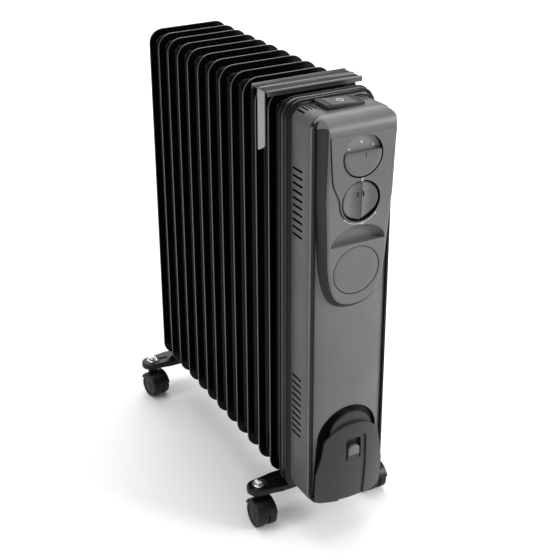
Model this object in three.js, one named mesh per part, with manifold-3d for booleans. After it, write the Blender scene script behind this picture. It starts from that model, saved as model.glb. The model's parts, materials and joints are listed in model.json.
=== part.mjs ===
// Oil filled radiator heater on four swivel casters. Units are millimetres, +Z is up.
// The control housing faces -Y, the fins stack towards +Y, and the floor is z = 0.
import * as THREE from 'three';
import Module from 'manifold-3d';
import { mergeVertices } from 'three/addons/utils/BufferGeometryUtils.js';

const wasm = await Module();
wasm.setup();

// Clearance between neighbouring pieces, and how far a cutting tool runs past a face.
const gap = 0.3;
const overrun = 5;

// Fins: pressed steel elements with a flat rim, a hollow body and two oil headers.
const finCount = 12;
const finPitch = 34.85;
const finWidth = 134;
const finHeight = 575;
const finTopRadius = 22;
const finBottomRadius = 25;
const finBase = 62;
const finTop = finBase + finHeight;
const rimThickness = 2;
const rimWidth = 9;
const bodyThickness = 15;
const bodyBevel = 4.5;
const sheet = 0.9;
const headerInset = 48;
const headerRadius = 21;
const headerBore = 17;
const lowerHeader = finBase + headerInset;
const upperHeader = finTop - headerInset;
const firstFinY = 244.34;
const lastFinY = firstFinY - (finCount - 1) * finPitch;
const bodyHalf = bodyThickness / 2;

// Oil filler plug, and the heating element with its flange and gasket on the lowest header.
const plugStub = 6;
const plugHead = 10;
const plugRise = 4;
const gasketThickness = 2;
const flangeThickness = 3;
const flangeRim = 3;
const flangeNutDepth = 9;
const flangeY = lastFinY - bodyHalf - (finPitch - bodyThickness) - gasketThickness;
const flangeHole = headerRadius + 6;
const elementRadius = 4;
const elementSpread = 8.5;
const elementFrontY = flangeY - 20;
const elementRearY = firstFinY + 2;
const elementStraightEnd = elementRearY - elementSpread - 30;

// Layers between the last fin and the plastic housing, each with its own rim.
const shieldY = lastFinY - 27.6;
const shieldThickness = 2;
const panY = lastFinY - 31;
const panDepth = 7.3;
const panInset = 1;
const panSheet = 2;
const shellBackY = panY - panDepth - 0.5;
const shellFlangeDepth = 6;
const shellFlangeInset = 2;

// Plastic housing.
const wall = 2.5;
const shellHalfWidth = 58;
const shellBase = finBase + 5;
const shellTop = finBase + 566;
const shellRadius = 16;
const shellFrontY = shellBackY - 48.7;
const panelBackY = shellFrontY - 4;
const panelHalfWidth = 57.5;
const panelStraight = 2;
const panelCrown = 10.5;

// Gland where the supply cord enters the housing's base.
const glandRadius = 6;
const glandBore = 3.6;
const glandCollar = 8.5;
const glandNut = 9;
const glandX = 30;
const glandY = shellBackY - 24;

// Side and top air slots.
const slotCount = 10;
const slotPitch = 9.9;
const slotHeight = 3.4;
const slotLength = 25;
const upperSlotTop = finBase + 490;
const lowerSlotTop = finBase + 192;
const slotBackY = shellBackY - 8.7;
const topSlotCount = 4;
const topSlotPitch = 5.6;
const topSlotFirstX = 34;
const topSlotLength = 17;
const topSlotWidth = 2.4;

// Control console: a raised shield whose face leans forward towards its top.
const consoleTop = shellTop;
const consoleBase = finBase + 303;
const consoleBevel = 9;
const consoleBevelDepth = 14;
const consoleBackY = panelBackY;
const consoleFaceY = panelBackY - 18.5;
const faceLean = Math.atan(0.05);
const browRadius = 20;
const dialZ = finBase + 515.6;
const knobZ = finBase + 456.3;
const capZ = finBase + 359.5;
const dialRadius = 26.4;
const knobRadius = 25.8;
const dialWell = 28.4;
const knobWell = 27.8;
const capRadius = 33;
const capWell = 34;
const wellDepth = 8;
const capDepth = 5.5;
const tongueRise = 1.5;
const bossWall = 2.5;
const shaftRadius = 3;
const dialEdge = 6;
const scalePlate = 1.2;
const dialShaftLength = 34;
const dialNotchWidth = 1.4;
const dialNotchDepth = 0.8;
const dialNotchDrop = 3;
const hollowRadius = 40;
const hollowX = 18.2;
const hollowDepthY = 4.5;
const scoopZ = finBase + 398;
const scoopHalfWidth = 39.7;
const scoopHeight = 25;
const scoopDepth = 10;

// Console outline: its half widths, and heights of its bends above its base.
const consoleHalfWidth = 56;
const taperHalfWidth = 51.5;
const toeHeight = 17;
const cheekHeight = 40;
const taperHeight = 80;
const flareHeight = 120;
const shoulderHeight = 150;
const sharpestCorner = 4;

// Half widths of the dial tongue, and their heights above the knob's centre.
const tongueRadius = 29.5;
const tongueBends = [[35, 14], [42, 31], [46, 55], [50, 81], [70, 107]];

// Power rocker on the housing's top.
const rockerWidth = 55;
const rockerLength = 31;
const rockerSkirt = 4;
const rockerRise = 5.5;
const rockerTilt = THREE.MathUtils.degToRad(-2.5);
const rockerY = shellBackY - 22.3;
const rockerOverhang = 1;
const rockerRootInset = 5;
const rockerRootDepth = 8;
const frameBorder = 2.4;
const frameDepth = 14;

// Electrical parts inside the housing.
const controlFront = wellDepth + bossWall + 1.5;
const controlDepth = 16;
const switchRadius = 16;
const bulbDepth = 6;
const plateFrontY = panY - panSheet - gap;
const cutoutDepth = 8;
const cutoutZ = lowerHeader + 60;
const tiltX = -38;
const tiltZ = shellBase + 83;
const tiltDepth = 24;
const terminalDepth = 14;
const terminalTop = lowerHeader + 168;
const loomRadius = 3;

// Cord store at the foot of the front panel.
const recessTop = finBase + 154.5;
const recessDepth = 14;
const recessHalfWidth = 50;
const recessRadius = 46;
const recessFloorY = panelBackY + recessDepth - 10;
const archSplay = 6;
const archFoot = finBase - 20;
const drumZ = finBase + 115;
const drumFlangeRadius = 32;
const drumFlangeThickness = 4;
const drumRadius = 24;
const coverBase = finBase + 10;
const coverTop = finBase + 132;
const coverHalfBottom = 53;
const coverHalfTop = 42;
const coverY = panelBackY - 26;
const coverCrown = 13;
const coverSheet = 5;
const coverCorner = 7;
const coverShoulderDrop = 26;
const coverBowAtDrum = 5;
const channelHalfWidth = 19.5;
const channelTop = finBase + 112.5;
const channelDepth = 2.5;
const hookHalfWidth = 11.5;
const hookBottom = finBase + 84;
const hookTop = finBase + 109;

// Foot brackets and casters.
const bracketTop = finBase - 1;
const bracketSheet = 2;
const bracketLip = 9;
const bracketHalfLength = 111;
const bracketHalfWidth = 19;
const bracketEndRadius = 15;
const bracketShoulder = 62;
const rearBracketY = firstFinY - 5;
const frontBracketY = lastFinY - 14;
const boltRadius = 2.5;
const boltNutRadius = 4.2;
const boltNutHeight = 4;
const boltTail = 12;
const boltReach = headerRadius + gap + boltRadius + 0.5;
const casterX = 93;
const casterTrail = 9;
const stemRadius = 4;
const stemWasherRadius = 9;
const stemWasher = 1.4;
const stemNutRadius = 7.6;
const stemNutHeight = 6;
const wheelRadius = 20;
const wheelWidth = 12;
const wheelInner = 3.4;
const axleRadius = 2.6;
const axleBore = 2.9;
const hoodRadius = 23;
const hoodInner = 21;
const hoodHalfWidth = 15;
const hoodWeb = 2.9;
const hoodSkirt = 6;
const neckBase = 32;
const wheelRoom = 0.8;
const treadBevel = 1;
const treadShoulder = 1.5;
const stemBase = wheelRadius + hoodInner + 0.5;
const neckRadius = 8;
const neckTop = bracketTop - bracketLip - 1.5;
const rearCasterTurn = THREE.MathUtils.degToRad(10);

// Carrying handle: a grooved cap over the last two fins, on a strap between them.
const handleY = lastFinY + finPitch / 2;
const handleHalfLength = 69;
const handleHalfWidth = 22.5;
const handleSheet = 2;
const handleLip = 7;
const grooveY = 10.5;
const grooveHalf = 7;
const grooveDepth = 0.9;
const strapWidth = 19;
const strapSheet = 2;
const strapLength = 84;
const strapHook = 8;

const paint = {
  fin: { color: 0x0a0a0b, roughness: 0.28, metalness: 0.2 },
  shield: { color: 0x101011, roughness: 0.4, metalness: 0.3 },
  housing: { color: 0x4a484c, roughness: 0.42, metalness: 0 },
  panel: { color: 0x525055, roughness: 0.38, metalness: 0 },
  knob: { color: 0x47454a, roughness: 0.35, metalness: 0 },
  scale: { color: 0x5f5d63, roughness: 0.5, metalness: 0 },
  zinc: { color: 0xb9bcc0, roughness: 0.3, metalness: 1 },
  copper: { color: 0xb8b2a6, roughness: 0.4, metalness: 0.8 },
  handle: { color: 0x8f8b8a, roughness: 0.35, metalness: 0.6 },
  rubber: { color: 0x1a1a1b, roughness: 0.8, metalness: 0 },
  caster: { color: 0x18181a, roughness: 0.5, metalness: 0 },
  ceramic: { color: 0xd8d2c4, roughness: 0.6, metalness: 0 },
  bakelite: { color: 0x2a2523, roughness: 0.45, metalness: 0 },
};

const heater = new THREE.Group();
const turned = (degrees) => THREE.MathUtils.degToRad(degrees);
const at = (x, y, z) => new THREE.Vector3(x, y, z);

// ---- solids -------------------------------------------------------------------------------

function solid(geometry) {
  const bare = geometry.clone();
  bare.deleteAttribute('normal');
  bare.deleteAttribute('uv');
  const merged = mergeVertices(bare, 1e-4);
  const vertProperties = new Float32Array(merged.attributes.position.array);
  const triVerts = new Uint32Array(merged.index.array);
  return new wasm.Manifold(new wasm.Mesh({ numProp: 3, vertProperties, triVerts }));
}

function geometryOf(manifold) {
  const mesh = manifold.getMesh();
  const geometry = new THREE.BufferGeometry();
  geometry.setAttribute('position', new THREE.BufferAttribute(mesh.vertProperties, 3));
  geometry.setIndex(new THREE.BufferAttribute(mesh.triVerts, 1));
  return geometry;
}

function cut(base, ...tools) {
  return geometryOf(tools.reduce((left, tool) => left.subtract(solid(tool)), solid(base)));
}

function join(base, ...others) {
  return geometryOf(others.reduce((sum, other) => sum.add(solid(other)), solid(base)));
}

function overlap(base, ...others) {
  return geometryOf(others.reduce((shared, other) => shared.intersect(solid(other)), solid(base)));
}

function extrude(shape, depth, options) {
  return new THREE.ExtrudeGeometry(shape, { depth, bevelEnabled: false, curveSegments: 4, ...options });
}

// An outline drawn in x and z, extruded from y = backY towards the front.
function upright(shape, backY, depth, options = {}) {
  return extrude(shape, depth, options).rotateX(Math.PI / 2).translate(0, backY, 0);
}

// An outline drawn in x and y, extruded upwards from z = base.
function lying(shape, base, height, options = {}) {
  return extrude(shape, height, options).translate(0, 0, base);
}

// An outline drawn in y and z, extruded along x and centred on x = 0.
function sideways(shape, width, options = {}) {
  const centred = extrude(shape, width, options).translate(0, 0, -width / 2);
  return centred.rotateX(Math.PI / 2).rotateZ(Math.PI / 2);
}

function block(fromX, toX, fromY, toY, fromZ, toZ) {
  const geometry = new THREE.BoxGeometry(toX - fromX, toY - fromY, toZ - fromZ);
  return geometry.translate((fromX + toX) / 2, (fromY + toY) / 2, (fromZ + toZ) / 2);
}

// A cylinder along y whose back end is at y = backY.
function spigot(radius, x, backY, z, depth, sides = 24) {
  return new THREE.CylinderGeometry(radius, radius, depth, sides).translate(x, backY - depth / 2, z);
}

// A cylinder along z standing on z = base.
function post(radius, x, y, base, height, sides = 16) {
  return new THREE.CylinderGeometry(radius, radius, height, sides)
    .rotateX(Math.PI / 2)
    .translate(x, y, base + height / 2);
}

// A cylinder along x centred on x.
function axle(radius, x, y, z, length, sides = 24) {
  return new THREE.CylinderGeometry(radius, radius, length, sides).rotateZ(Math.PI / 2).translate(x, y, z);
}

function tube(points, radius, steps, sides = 8) {
  const section = new THREE.Shape();
  section.absarc(0, 0, radius, 0, 2 * Math.PI, false);
  const extrudePath = new THREE.CatmullRomCurve3(points, false, 'centripetal');
  return extrude(section, undefined, { steps, curveSegments: sides / 2, extrudePath });
}

function tallOutline(halfWidth, base, top, topRadius, bottomRadius) {
  const shape = new THREE.Shape();
  shape.absarc(halfWidth - bottomRadius, base + bottomRadius, bottomRadius, -Math.PI / 2, 0, false);
  shape.absarc(halfWidth - topRadius, top - topRadius, topRadius, 0, Math.PI / 2, false);
  shape.absarc(topRadius - halfWidth, top - topRadius, topRadius, Math.PI / 2, Math.PI, false);
  shape.absarc(bottomRadius - halfWidth, base + bottomRadius, bottomRadius, Math.PI, 1.5 * Math.PI, false);
  shape.closePath();
  return shape;
}

const insetOutline = (halfWidth, base, top, topRadius, bottomRadius, inset) =>
  tallOutline(halfWidth - inset, base + inset, top - inset, topRadius - inset, bottomRadius - inset);

function addPart(name, geometry, look, parent = heater) {
  const mesh = new THREE.Mesh(geometry, new THREE.MeshStandardMaterial(look));
  mesh.name = name;
  parent.add(mesh);
  return mesh;
}

function finOutline(inset) {
  return insetOutline(finWidth / 2, finBase, finTop, finTopRadius, finBottomRadius, inset);
}

// ---- radiator -----------------------------------------------------------------------------

function finBody(inset, thickness) {
  const options = { bevelEnabled: true, bevelSegments: 1, bevelSize: bodyBevel, bevelThickness: bodyBevel };
  options.curveSegments = 2;
  const core = thickness - 2 * bodyBevel;
  return upright(finOutline(inset + bodyBevel), core / 2, core, options);
}

// One element in its own frame, centred on its rim: hollow, and open through its headers.
function finElement(isFirst, isLast) {
  const rim = upright(finOutline(0), rimThickness / 2, rimThickness, { curveSegments: 2 });
  const reach = finPitch - bodyThickness - gap;
  const sides = 10;
  const collars = [spigot(headerRadius, 0, -bodyHalf + 1, lowerHeader, reach + 1, sides)];
  if (!isLast) collars.push(spigot(headerRadius, 0, -bodyHalf + 1, upperHeader, reach + 1, sides));
  const outside = join(rim, finBody(rimWidth, bodyThickness), ...collars);
  const cavity = finBody(rimWidth + sheet, bodyThickness - 2 * sheet);
  const frontBore = reach + bodyHalf + overrun;
  const bores = [spigot(headerBore, 0, 0, lowerHeader, frontBore, sides)];
  if (!isLast) bores.push(spigot(headerBore, 0, 0, upperHeader, frontBore, sides));
  if (!isFirst) {
    const rearBore = bodyHalf + overrun;
    bores.push(spigot(headerBore, 0, rearBore, lowerHeader, rearBore, sides));
    bores.push(spigot(headerBore, 0, rearBore, upperHeader, rearBore, sides));
  } else {
    bores.push(spigot(plugStub + gap, 0, bodyHalf + overrun, upperHeader, bodyHalf + overrun, 12));
  }
  return cut(outside, cavity, ...bores);
}

function addFins() {
  for (let index = 0; index < finCount; index += 1) {
    const element = finElement(index === 0, index === finCount - 1);
    const name = `fin_${String(index + 1).padStart(2, '0')}`;
    addPart(name, element, paint.fin).position.y = firstFinY - index * finPitch;
  }
}

function addOilPlug() {
  const head = spigot(plugHead, 0, plugRise, 0, plugRise - gap, 6);
  const stub = spigot(plugStub, 0, 1, 0, sheet + 3, 12);
  const plug = addPart('oil_filler_plug', join(head, stub), paint.zinc);
  plug.position.set(0, firstFinY + bodyHalf, upperHeader);
}

function addHeatingElement() {
  const points = [at(-elementSpread, elementFrontY, 0), at(-elementSpread, elementStraightEnd, 0)];
  const bendY = elementRearY - 2 * elementSpread;
  for (const angle of [180, 140, 90, 40, 0]) {
    const x = elementSpread * Math.cos(turned(angle));
    points.push(at(x, bendY + elementSpread * Math.sin(turned(angle)), 0));
  }
  points.push(at(elementSpread, elementStraightEnd, 0), at(elementSpread, elementFrontY, 0));
  addPart('heating_element', tube(points, elementRadius, 30, 6), paint.copper).position.z = lowerHeader;

  const sheathHole = elementRadius + 2 * gap;
  const holes = [-1, 1].map((side) => {
    return spigot(sheathHole, side * elementSpread, 4 * overrun, 0, 12 * overrun, 12);
  });
  const plate = spigot(headerRadius + flangeRim, 0, 0, 0, flangeThickness);
  const nut = spigot(headerRadius - 1, 0, -1, 0, flangeNutDepth, 6);
  const flange = addPart('element_flange', cut(join(plate, nut), ...holes), paint.zinc);
  flange.position.set(0, flangeY, lowerHeader);

  const washer = spigot(headerRadius + flangeRim - 1, 0, 0, 0, gasketThickness - 2 * gap);
  const hole = spigot(headerBore + 0.5, 0, overrun, 0, 4 * overrun);
  const gasket = addPart('element_gasket', cut(washer, hole), paint.rubber);
  gasket.position.set(0, flangeY + gasketThickness - gap, lowerHeader);
}

// ---- housing ------------------------------------------------------------------------------

function addBackPlates() {
  const shield = upright(finOutline(0), shieldY, shieldThickness, { curveSegments: 3 });
  const opening = spigot(flangeHole, 0, shieldY + overrun, lowerHeader, 4 * overrun);
  addPart('heat_shield', cut(shield, opening), paint.shield);

  const pan = upright(finOutline(panInset), panY, panDepth, { curveSegments: 3 });
  const pocketOutline = finOutline(panInset + panSheet);
  const pocket = upright(pocketOutline, panY - panSheet, panDepth + overrun, { curveSegments: 3 });
  addPart('housing_back_plate', cut(pan, pocket, opening), paint.shield);
}

function airSlots() {
  const slots = [];
  for (const top of [upperSlotTop, lowerSlotTop]) {
    for (let row = 0; row < slotCount; row += 1) {
      const z = top - row * slotPitch;
      const reach = shellHalfWidth + overrun;
      const half = slotHeight / 2;
      slots.push(block(-reach, reach, slotBackY - slotLength, slotBackY, z - half, z + half));
    }
  }
  for (const side of [-1, 1]) {
    for (let column = 0; column < topSlotCount; column += 1) {
      const x = side * (topSlotFirstX + column * topSlotPitch);
      const half = topSlotWidth / 2;
      const back = slotBackY + 1;
      slots.push(block(x - half, x + half, back - topSlotLength, back, shellTop - 20, shellTop + overrun));
    }
  }
  return slots;
}

function addShell() {
  const flange = upright(finOutline(shellFlangeInset), shellBackY, shellFlangeDepth);
  const body = tallOutline(shellHalfWidth, shellBase, shellTop, shellRadius, shellRadius);
  const tubeOuter = upright(body, shellBackY, shellBackY - shellFrontY);
  const hollow = insetOutline(shellHalfWidth, shellBase, shellTop, shellRadius, shellRadius, wall);
  const tubeInner = upright(hollow, shellBackY + overrun, shellBackY - shellFrontY + 2 * overrun);
  const halfLength = rockerLength / 2 - rockerOverhang;
  const halfWidth = rockerWidth / 2 - rockerOverhang;
  const opening = block(
    -halfWidth, halfWidth,
    rockerY - halfLength, rockerY + halfLength,
    shellTop - 4 * overrun, shellTop + overrun,
  );
  const glandHole = post(glandRadius + gap, glandX, glandY, shellBase - overrun, 2 * overrun + wall);
  const shell = cut(join(flange, tubeOuter), tubeInner, opening, glandHole, ...airSlots());
  addPart('housing_shell', shell, paint.housing);
}

function addCordGland() {
  const body = post(glandRadius, glandX, glandY, shellBase - 8, 20);
  const collar = post(glandCollar, glandX, glandY, shellBase - 4, 4 - gap);
  const nut = post(glandNut, glandX, glandY, shellBase + wall + gap, 5, 6);
  const bore = post(glandBore, glandX, glandY, shellBase - 4 * overrun, 12 * overrun, 12);
  addPart('cord_gland', cut(join(body, collar, nut), bore), paint.rubber);
}

// Plan outline of the crowned front panel, inset at its sides and front, back to y = backY.
function crownPlan(inset, backY) {
  const half = panelHalfWidth - inset;
  const shape = new THREE.Shape();
  const straightY = panelBackY - panelStraight;
  shape.moveTo(half, backY);
  shape.lineTo(half, straightY);
  shape.absellipse(0, straightY, half, panelCrown - inset, 0, -Math.PI, true);
  shape.lineTo(-half, backY);
  shape.closePath();
  return shape;
}

// Arch of the cord store, open at the bottom.
function archShape(halfWidth, top, radius) {
  const shape = new THREE.Shape();
  shape.moveTo(halfWidth + archSplay, archFoot);
  shape.lineTo(halfWidth, top - radius);
  shape.absellipse(0, top - radius, halfWidth, radius, 0, Math.PI, false);
  shape.lineTo(-halfWidth - archSplay, archFoot);
  shape.closePath();
  return shape;
}

// The panel's outer form, inset all round, from y = backY to its crowned front.
function crownSolid(inset, backY) {
  const outline = insetOutline(panelHalfWidth, shellBase, shellTop, shellRadius, shellRadius, inset);
  const plan = lying(crownPlan(inset, backY), shellBase, shellTop - shellBase, { curveSegments: 10 });
  return overlap(plan, upright(outline, backY, 12 * overrun));
}

function addFrontPanel() {
  const sheetPanel = cut(crownSolid(0, panelBackY), crownSolid(wall, panelBackY + overrun));
  const reach = 8 * overrun;
  const pocket = overlap(
    crownSolid(wall / 2, recessFloorY),
    upright(archShape(recessHalfWidth + wall, recessTop + wall, recessRadius), recessFloorY, reach),
  );
  const recess = upright(archShape(recessHalfWidth, recessTop, recessRadius), recessFloorY - wall, reach);
  const seat = consoleSolid(gap, panelBackY + overrun);
  const browRoom = block(
    -consoleHalfWidth + shellRadius, consoleHalfWidth - shellRadius,
    consoleFaceY - 10 * overrun, panelBackY + overrun,
    consoleTop - browRadius, consoleTop + overrun,
  );
  addPart('front_panel', cut(join(sheetPanel, pocket), recess, seat, browRoom), paint.panel);
}

// ---- control console ----------------------------------------------------------------------

// Shield outline, given its inset from the console's seam.
function shieldOutline(inset) {
  const half = consoleHalfWidth - inset;
  const taper = taperHalfWidth - inset;
  const shape = new THREE.Shape();
  const base = consoleBase + inset;
  const top = consoleTop - inset;
  const corner = shellRadius - Math.min(inset, shellRadius - sharpestCorner);
  shape.moveTo(0, base);
  shape.quadraticCurveTo(taper * 0.55, base, taper * 0.75, base + toeHeight);
  shape.quadraticCurveTo(taper * 0.98, base + cheekHeight, taper, base + taperHeight);
  shape.quadraticCurveTo(taper + 2, base + flareHeight, half, base + shoulderHeight);
  shape.lineTo(half, top - corner);
  shape.absarc(half - corner, top - corner, corner, 0, Math.PI / 2, false);
  shape.absarc(corner - half, top - corner, corner, Math.PI / 2, Math.PI, false);
  shape.lineTo(-half, base + shoulderHeight);
  shape.quadraticCurveTo(-taper - 2, base + flareHeight, -taper, base + taperHeight);
  shape.quadraticCurveTo(-taper * 0.98, base + cheekHeight, -taper * 0.75, base + toeHeight);
  shape.quadraticCurveTo(-taper * 0.55, base, 0, base);
  return shape;
}

const faceY = (z) => consoleFaceY - (z - capZ) * Math.tan(faceLean);

// Tilts a piece drawn about the origin, front towards -y, and sets it on the console's face.
const onFace = (geometry, z) => geometry.rotateX(faceLean).translate(0, faceY(z), z);

// Shears a piece drawn with its front at y = 0 so that the front lies on the leaning face.
function lean(geometry) {
  const shear = new THREE.Matrix4().set(
    1, 0, 0, 0,
    0, 1, -Math.tan(faceLean), capZ * Math.tan(faceLean) + consoleFaceY,
    0, 0, 1, 0,
    0, 0, 0, 1,
  );
  return geometry.applyMatrix4(shear);
}

// Side profile of the console, with its rounded brow, grown by the clearance.
function browProfile(grow, backY) {
  const top = consoleTop + grow;
  const front = faceY(consoleTop - browRadius) - grow;
  const shape = new THREE.Shape();
  shape.moveTo(backY, consoleBase - overrun);
  shape.lineTo(faceY(consoleBase) - overrun, consoleBase - overrun);
  shape.lineTo(front, top - browRadius);
  shape.absarc(front + browRadius, top - browRadius, browRadius, Math.PI, Math.PI / 2, true);
  shape.lineTo(backY, top);
  shape.closePath();
  return shape;
}

function consoleSolid(grow, backY) {
  const options = {
    bevelEnabled: true, bevelSegments: 3, bevelSize: consoleBevel, bevelThickness: consoleBevelDepth,
  };
  const depth = 12 * overrun;
  const outline = shieldOutline(consoleBevel - grow);
  const raised = lean(upright(outline, depth + consoleBevelDepth - grow, depth, options));
  const slab = sideways(browProfile(grow, backY), 2 * shellHalfWidth + 4 * overrun);
  return overlap(raised, slab);
}

function scoopShape(grow) {
  const shape = new THREE.Shape();
  shape.moveTo(scoopHalfWidth + grow, scoopZ - grow);
  shape.absellipse(0, scoopZ, scoopHalfWidth + grow, scoopHeight + grow, 0, Math.PI, false);
  shape.lineTo(-scoopHalfWidth - grow, scoopZ - grow);
  shape.closePath();
  return shape;
}

// The raised tongue that carries the two dials: it spreads to the console's top corners.
function tongueShape() {
  const widest = tongueBends[tongueBends.length - 1][0];
  const above = consoleTop + 6 * overrun;
  const shape = new THREE.Shape();
  shape.absarc(0, knobZ, tongueRadius, Math.PI, 2 * Math.PI, false);
  tongueBends.forEach(([half, rise]) => shape.lineTo(half, knobZ + rise));
  shape.lineTo(widest, above);
  shape.lineTo(-widest, above);
  tongueBends.toReversed().forEach(([half, rise]) => shape.lineTo(-half, knobZ + rise));
  shape.closePath();
  return shape;
}

// What is removed in front of the console's lower face, all round the tongue.
function stepTool() {
  const reach = consoleHalfWidth + 6 * overrun;
  const slab = block(
    -reach, reach,
    -6 * overrun, tongueRise,
    consoleBase - 4 * overrun, consoleTop + 8 * overrun,
  );
  return lean(cut(slab, upright(tongueShape(), overrun, 12 * overrun)));
}

const shaftHole = (z) => onFace(spigot(shaftRadius + 2 * gap, 0, 60, 0, 120, 12), z);

function addConsole() {
  const outer = consoleSolid(0, consoleBackY);
  const hollowDepth = 40;
  const hollow = lean(upright(shieldOutline(consoleBevel), hollowDepth + wall, hollowDepth));
  const reach = 2 * consoleHalfWidth;
  const topLimit = block(-reach, reach, 2 * consoleFaceY, 0, consoleBase, consoleTop - browRadius);
  const wells = [];
  const bosses = [];
  const pockets = [[dialZ, dialWell, wellDepth], [knobZ, knobWell, wellDepth], [capZ, capWell, capDepth]];
  for (const [z, wellRadius, depth] of pockets) {
    const bossDepth = depth + bossWall;
    wells.push(onFace(spigot(wellRadius, 0, depth, 0, depth + 4 * overrun, 32), z));
    bosses.push(onFace(spigot(wellRadius + bossWall, 0, bossDepth, 0, bossDepth, 32), z));
  }
  const scoop = lean(upright(scoopShape(0), scoopDepth, scoopDepth + 2 * overrun));
  bosses.push(lean(upright(scoopShape(bossWall), scoopDepth + bossWall, scoopDepth + bossWall)));
  const room = cut(overlap(hollow, topLimit), ...bosses);
  const shafts = [shaftHole(dialZ), shaftHole(knobZ)];
  addPart('control_console', cut(outer, room, scoop, stepTool(), ...wells, ...shafts), paint.panel);
}

const dialShaft = () => spigot(shaftRadius, 0, dialShaftLength, 0, dialShaftLength - 1, 12);

function addScalePlate() {
  const disc = spigot(dialWell - 2 * gap, 0, wellDepth - gap, 0, scalePlate, 32);
  const hole = spigot(shaftRadius + 2 * gap, 0, 4 * overrun, 0, 12 * overrun, 12);
  addPart('dial_scale_plate', onFace(cut(disc, hole), dialZ), paint.scale);
}

// The selector's grip covers the lower part of its well, so the scale shows above its straight edge.
function addSelectorDial() {
  const depth = wellDepth - scalePlate - 3 * gap;
  const disc = spigot(dialRadius, 0, depth, 0, depth, 32);
  const reach = 2 * dialRadius;
  const upperPart = block(-reach, reach, -reach, reach, dialEdge, reach);
  const halfNotch = dialNotchWidth / 2;
  const notch = block(-halfNotch, halfNotch, -overrun, dialNotchDepth, -dialNotchDrop, 2 * dialEdge);
  const grip = cut(join(cut(disc, upperPart), dialShaft()), notch);
  addPart('heat_selector_dial', onFace(grip, dialZ), paint.knob);
}

// The thermostat knob's face is hollowed on both sides of a finger ridge.
function addThermostatKnob() {
  const disc = spigot(knobRadius, 0, wellDepth - gap, 0, wellDepth - gap, 32);
  const hollows = [-1, 1].map((side) => {
    const roll = new THREE.CylinderGeometry(hollowRadius, hollowRadius, 4 * knobRadius, 40);
    return roll.rotateX(Math.PI / 2).translate(side * hollowX, hollowDepthY - hollowRadius, 0);
  });
  addPart('thermostat_knob', onFace(join(cut(disc, ...hollows), dialShaft()), knobZ), paint.knob);
}

function addBlankingCap() {
  const cap = spigot(capRadius, 0, capDepth - gap, 0, capDepth - gap - tongueRise, 32);
  addPart('timer_blanking_cap', onFace(cap, capZ), paint.panel);
}

function addRocker() {
  const halfWidth = rockerWidth / 2;
  const halfLength = rockerLength / 2;
  const body = block(-halfWidth, halfWidth, -halfLength, halfLength, rockerRise - rockerSkirt, rockerRise);
  const rootWidth = halfWidth - rockerRootInset;
  const rootLength = halfLength - rockerRootInset;
  const root = block(-rootWidth, rootWidth, -rootLength, rootLength, -rockerRootDepth, rockerRise - 1);
  const rocker = join(body, root).rotateY(-rockerTilt).translate(0, rockerY, shellTop);
  addPart('power_rocker', rocker, paint.knob);

  const outerX = halfWidth - rockerOverhang - gap;
  const outerY = halfLength - rockerOverhang - gap;
  const frame = block(
    -outerX, outerX,
    rockerY - outerY, rockerY + outerY,
    shellTop - frameDepth, shellTop - gap,
  );
  const well = block(
    frameBorder - outerX, outerX - frameBorder,
    rockerY - outerY + frameBorder, rockerY + outerY - frameBorder,
    shellTop - frameDepth + 2, shellTop + overrun,
  );
  addPart('rocker_frame', cut(frame, well), paint.bakelite);
}

// ---- parts inside the housing -------------------------------------------------------------

const controlBore = () => spigot(shaftRadius + 2 * gap, 0, 8 * overrun, 0, 16 * overrun, 12);

// The rotary switch and the thermostat sit behind the console's wells, on the dials' shafts.
function addControls() {
  const back = controlFront + controlDepth;
  const drum = spigot(switchRadius, 0, back, 0, controlDepth, 16);
  addPart('selector_switch', onFace(cut(drum, controlBore()), dialZ), paint.bakelite);

  const body = block(-15, 15, controlFront, back, -20, 20);
  const bulb = block(-9, 9, back - 1, back + bulbDepth, -12, 12);
  addPart('thermostat', onFace(cut(join(body, bulb), controlBore()), knobZ), paint.ceramic);
}

// The safety parts and the terminals are screwed to the back plate.
function addPlateParts() {
  const cutoutBody = block(-9, 9, plateFrontY - cutoutDepth, plateFrontY, -14, 14);
  const button = spigot(6, 0, plateFrontY - cutoutDepth + 1, 0, 5, 12);
  const cutout = join(cutoutBody, button).translate(0, 0, cutoutZ);
  addPart('thermal_cutout', cutout, paint.ceramic);

  const tilt = block(tiltX - 13, tiltX + 13, plateFrontY - tiltDepth, plateFrontY, tiltZ - 13, tiltZ + 13);
  addPart('tilt_switch', tilt, paint.bakelite);

  const terminals = block(-24, 24, plateFrontY - terminalDepth, plateFrontY, terminalTop - 18, terminalTop);
  addPart('terminal_block', terminals, paint.ceramic);
}

// The loom rises from the terminals to the thermostat.
function addLoom() {
  const loomY = plateFrontY - cutoutDepth;
  const start = at(-12, loomY, terminalTop + 1);
  const end = at(-10, faceY(knobZ) + controlFront + controlDepth - 6, knobZ - 21);
  const middle = at(-30, loomY, (start.z + end.z) / 2);
  addPart('wiring_loom', tube([start, middle, end], loomRadius, 14, 6), paint.rubber);
}

// ---- cord store ---------------------------------------------------------------------------

function coverOutline() {
  const shape = new THREE.Shape();
  const bottom = coverHalfBottom;
  const top = coverHalfTop;
  const shoulder = coverTop - coverShoulderDrop;
  const corner = coverCorner;
  shape.moveTo(corner - bottom, coverBase);
  shape.lineTo(bottom - corner, coverBase);
  shape.quadraticCurveTo(bottom, coverBase, bottom - 0.6, coverBase + corner);
  shape.lineTo(top, shoulder);
  shape.quadraticCurveTo(top - 2, coverTop, 0, coverTop);
  shape.quadraticCurveTo(2 - top, coverTop, -top, shoulder);
  shape.lineTo(0.6 - bottom, coverBase + corner);
  shape.quadraticCurveTo(-bottom, coverBase, corner - bottom, coverBase);
  return shape;
}

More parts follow.
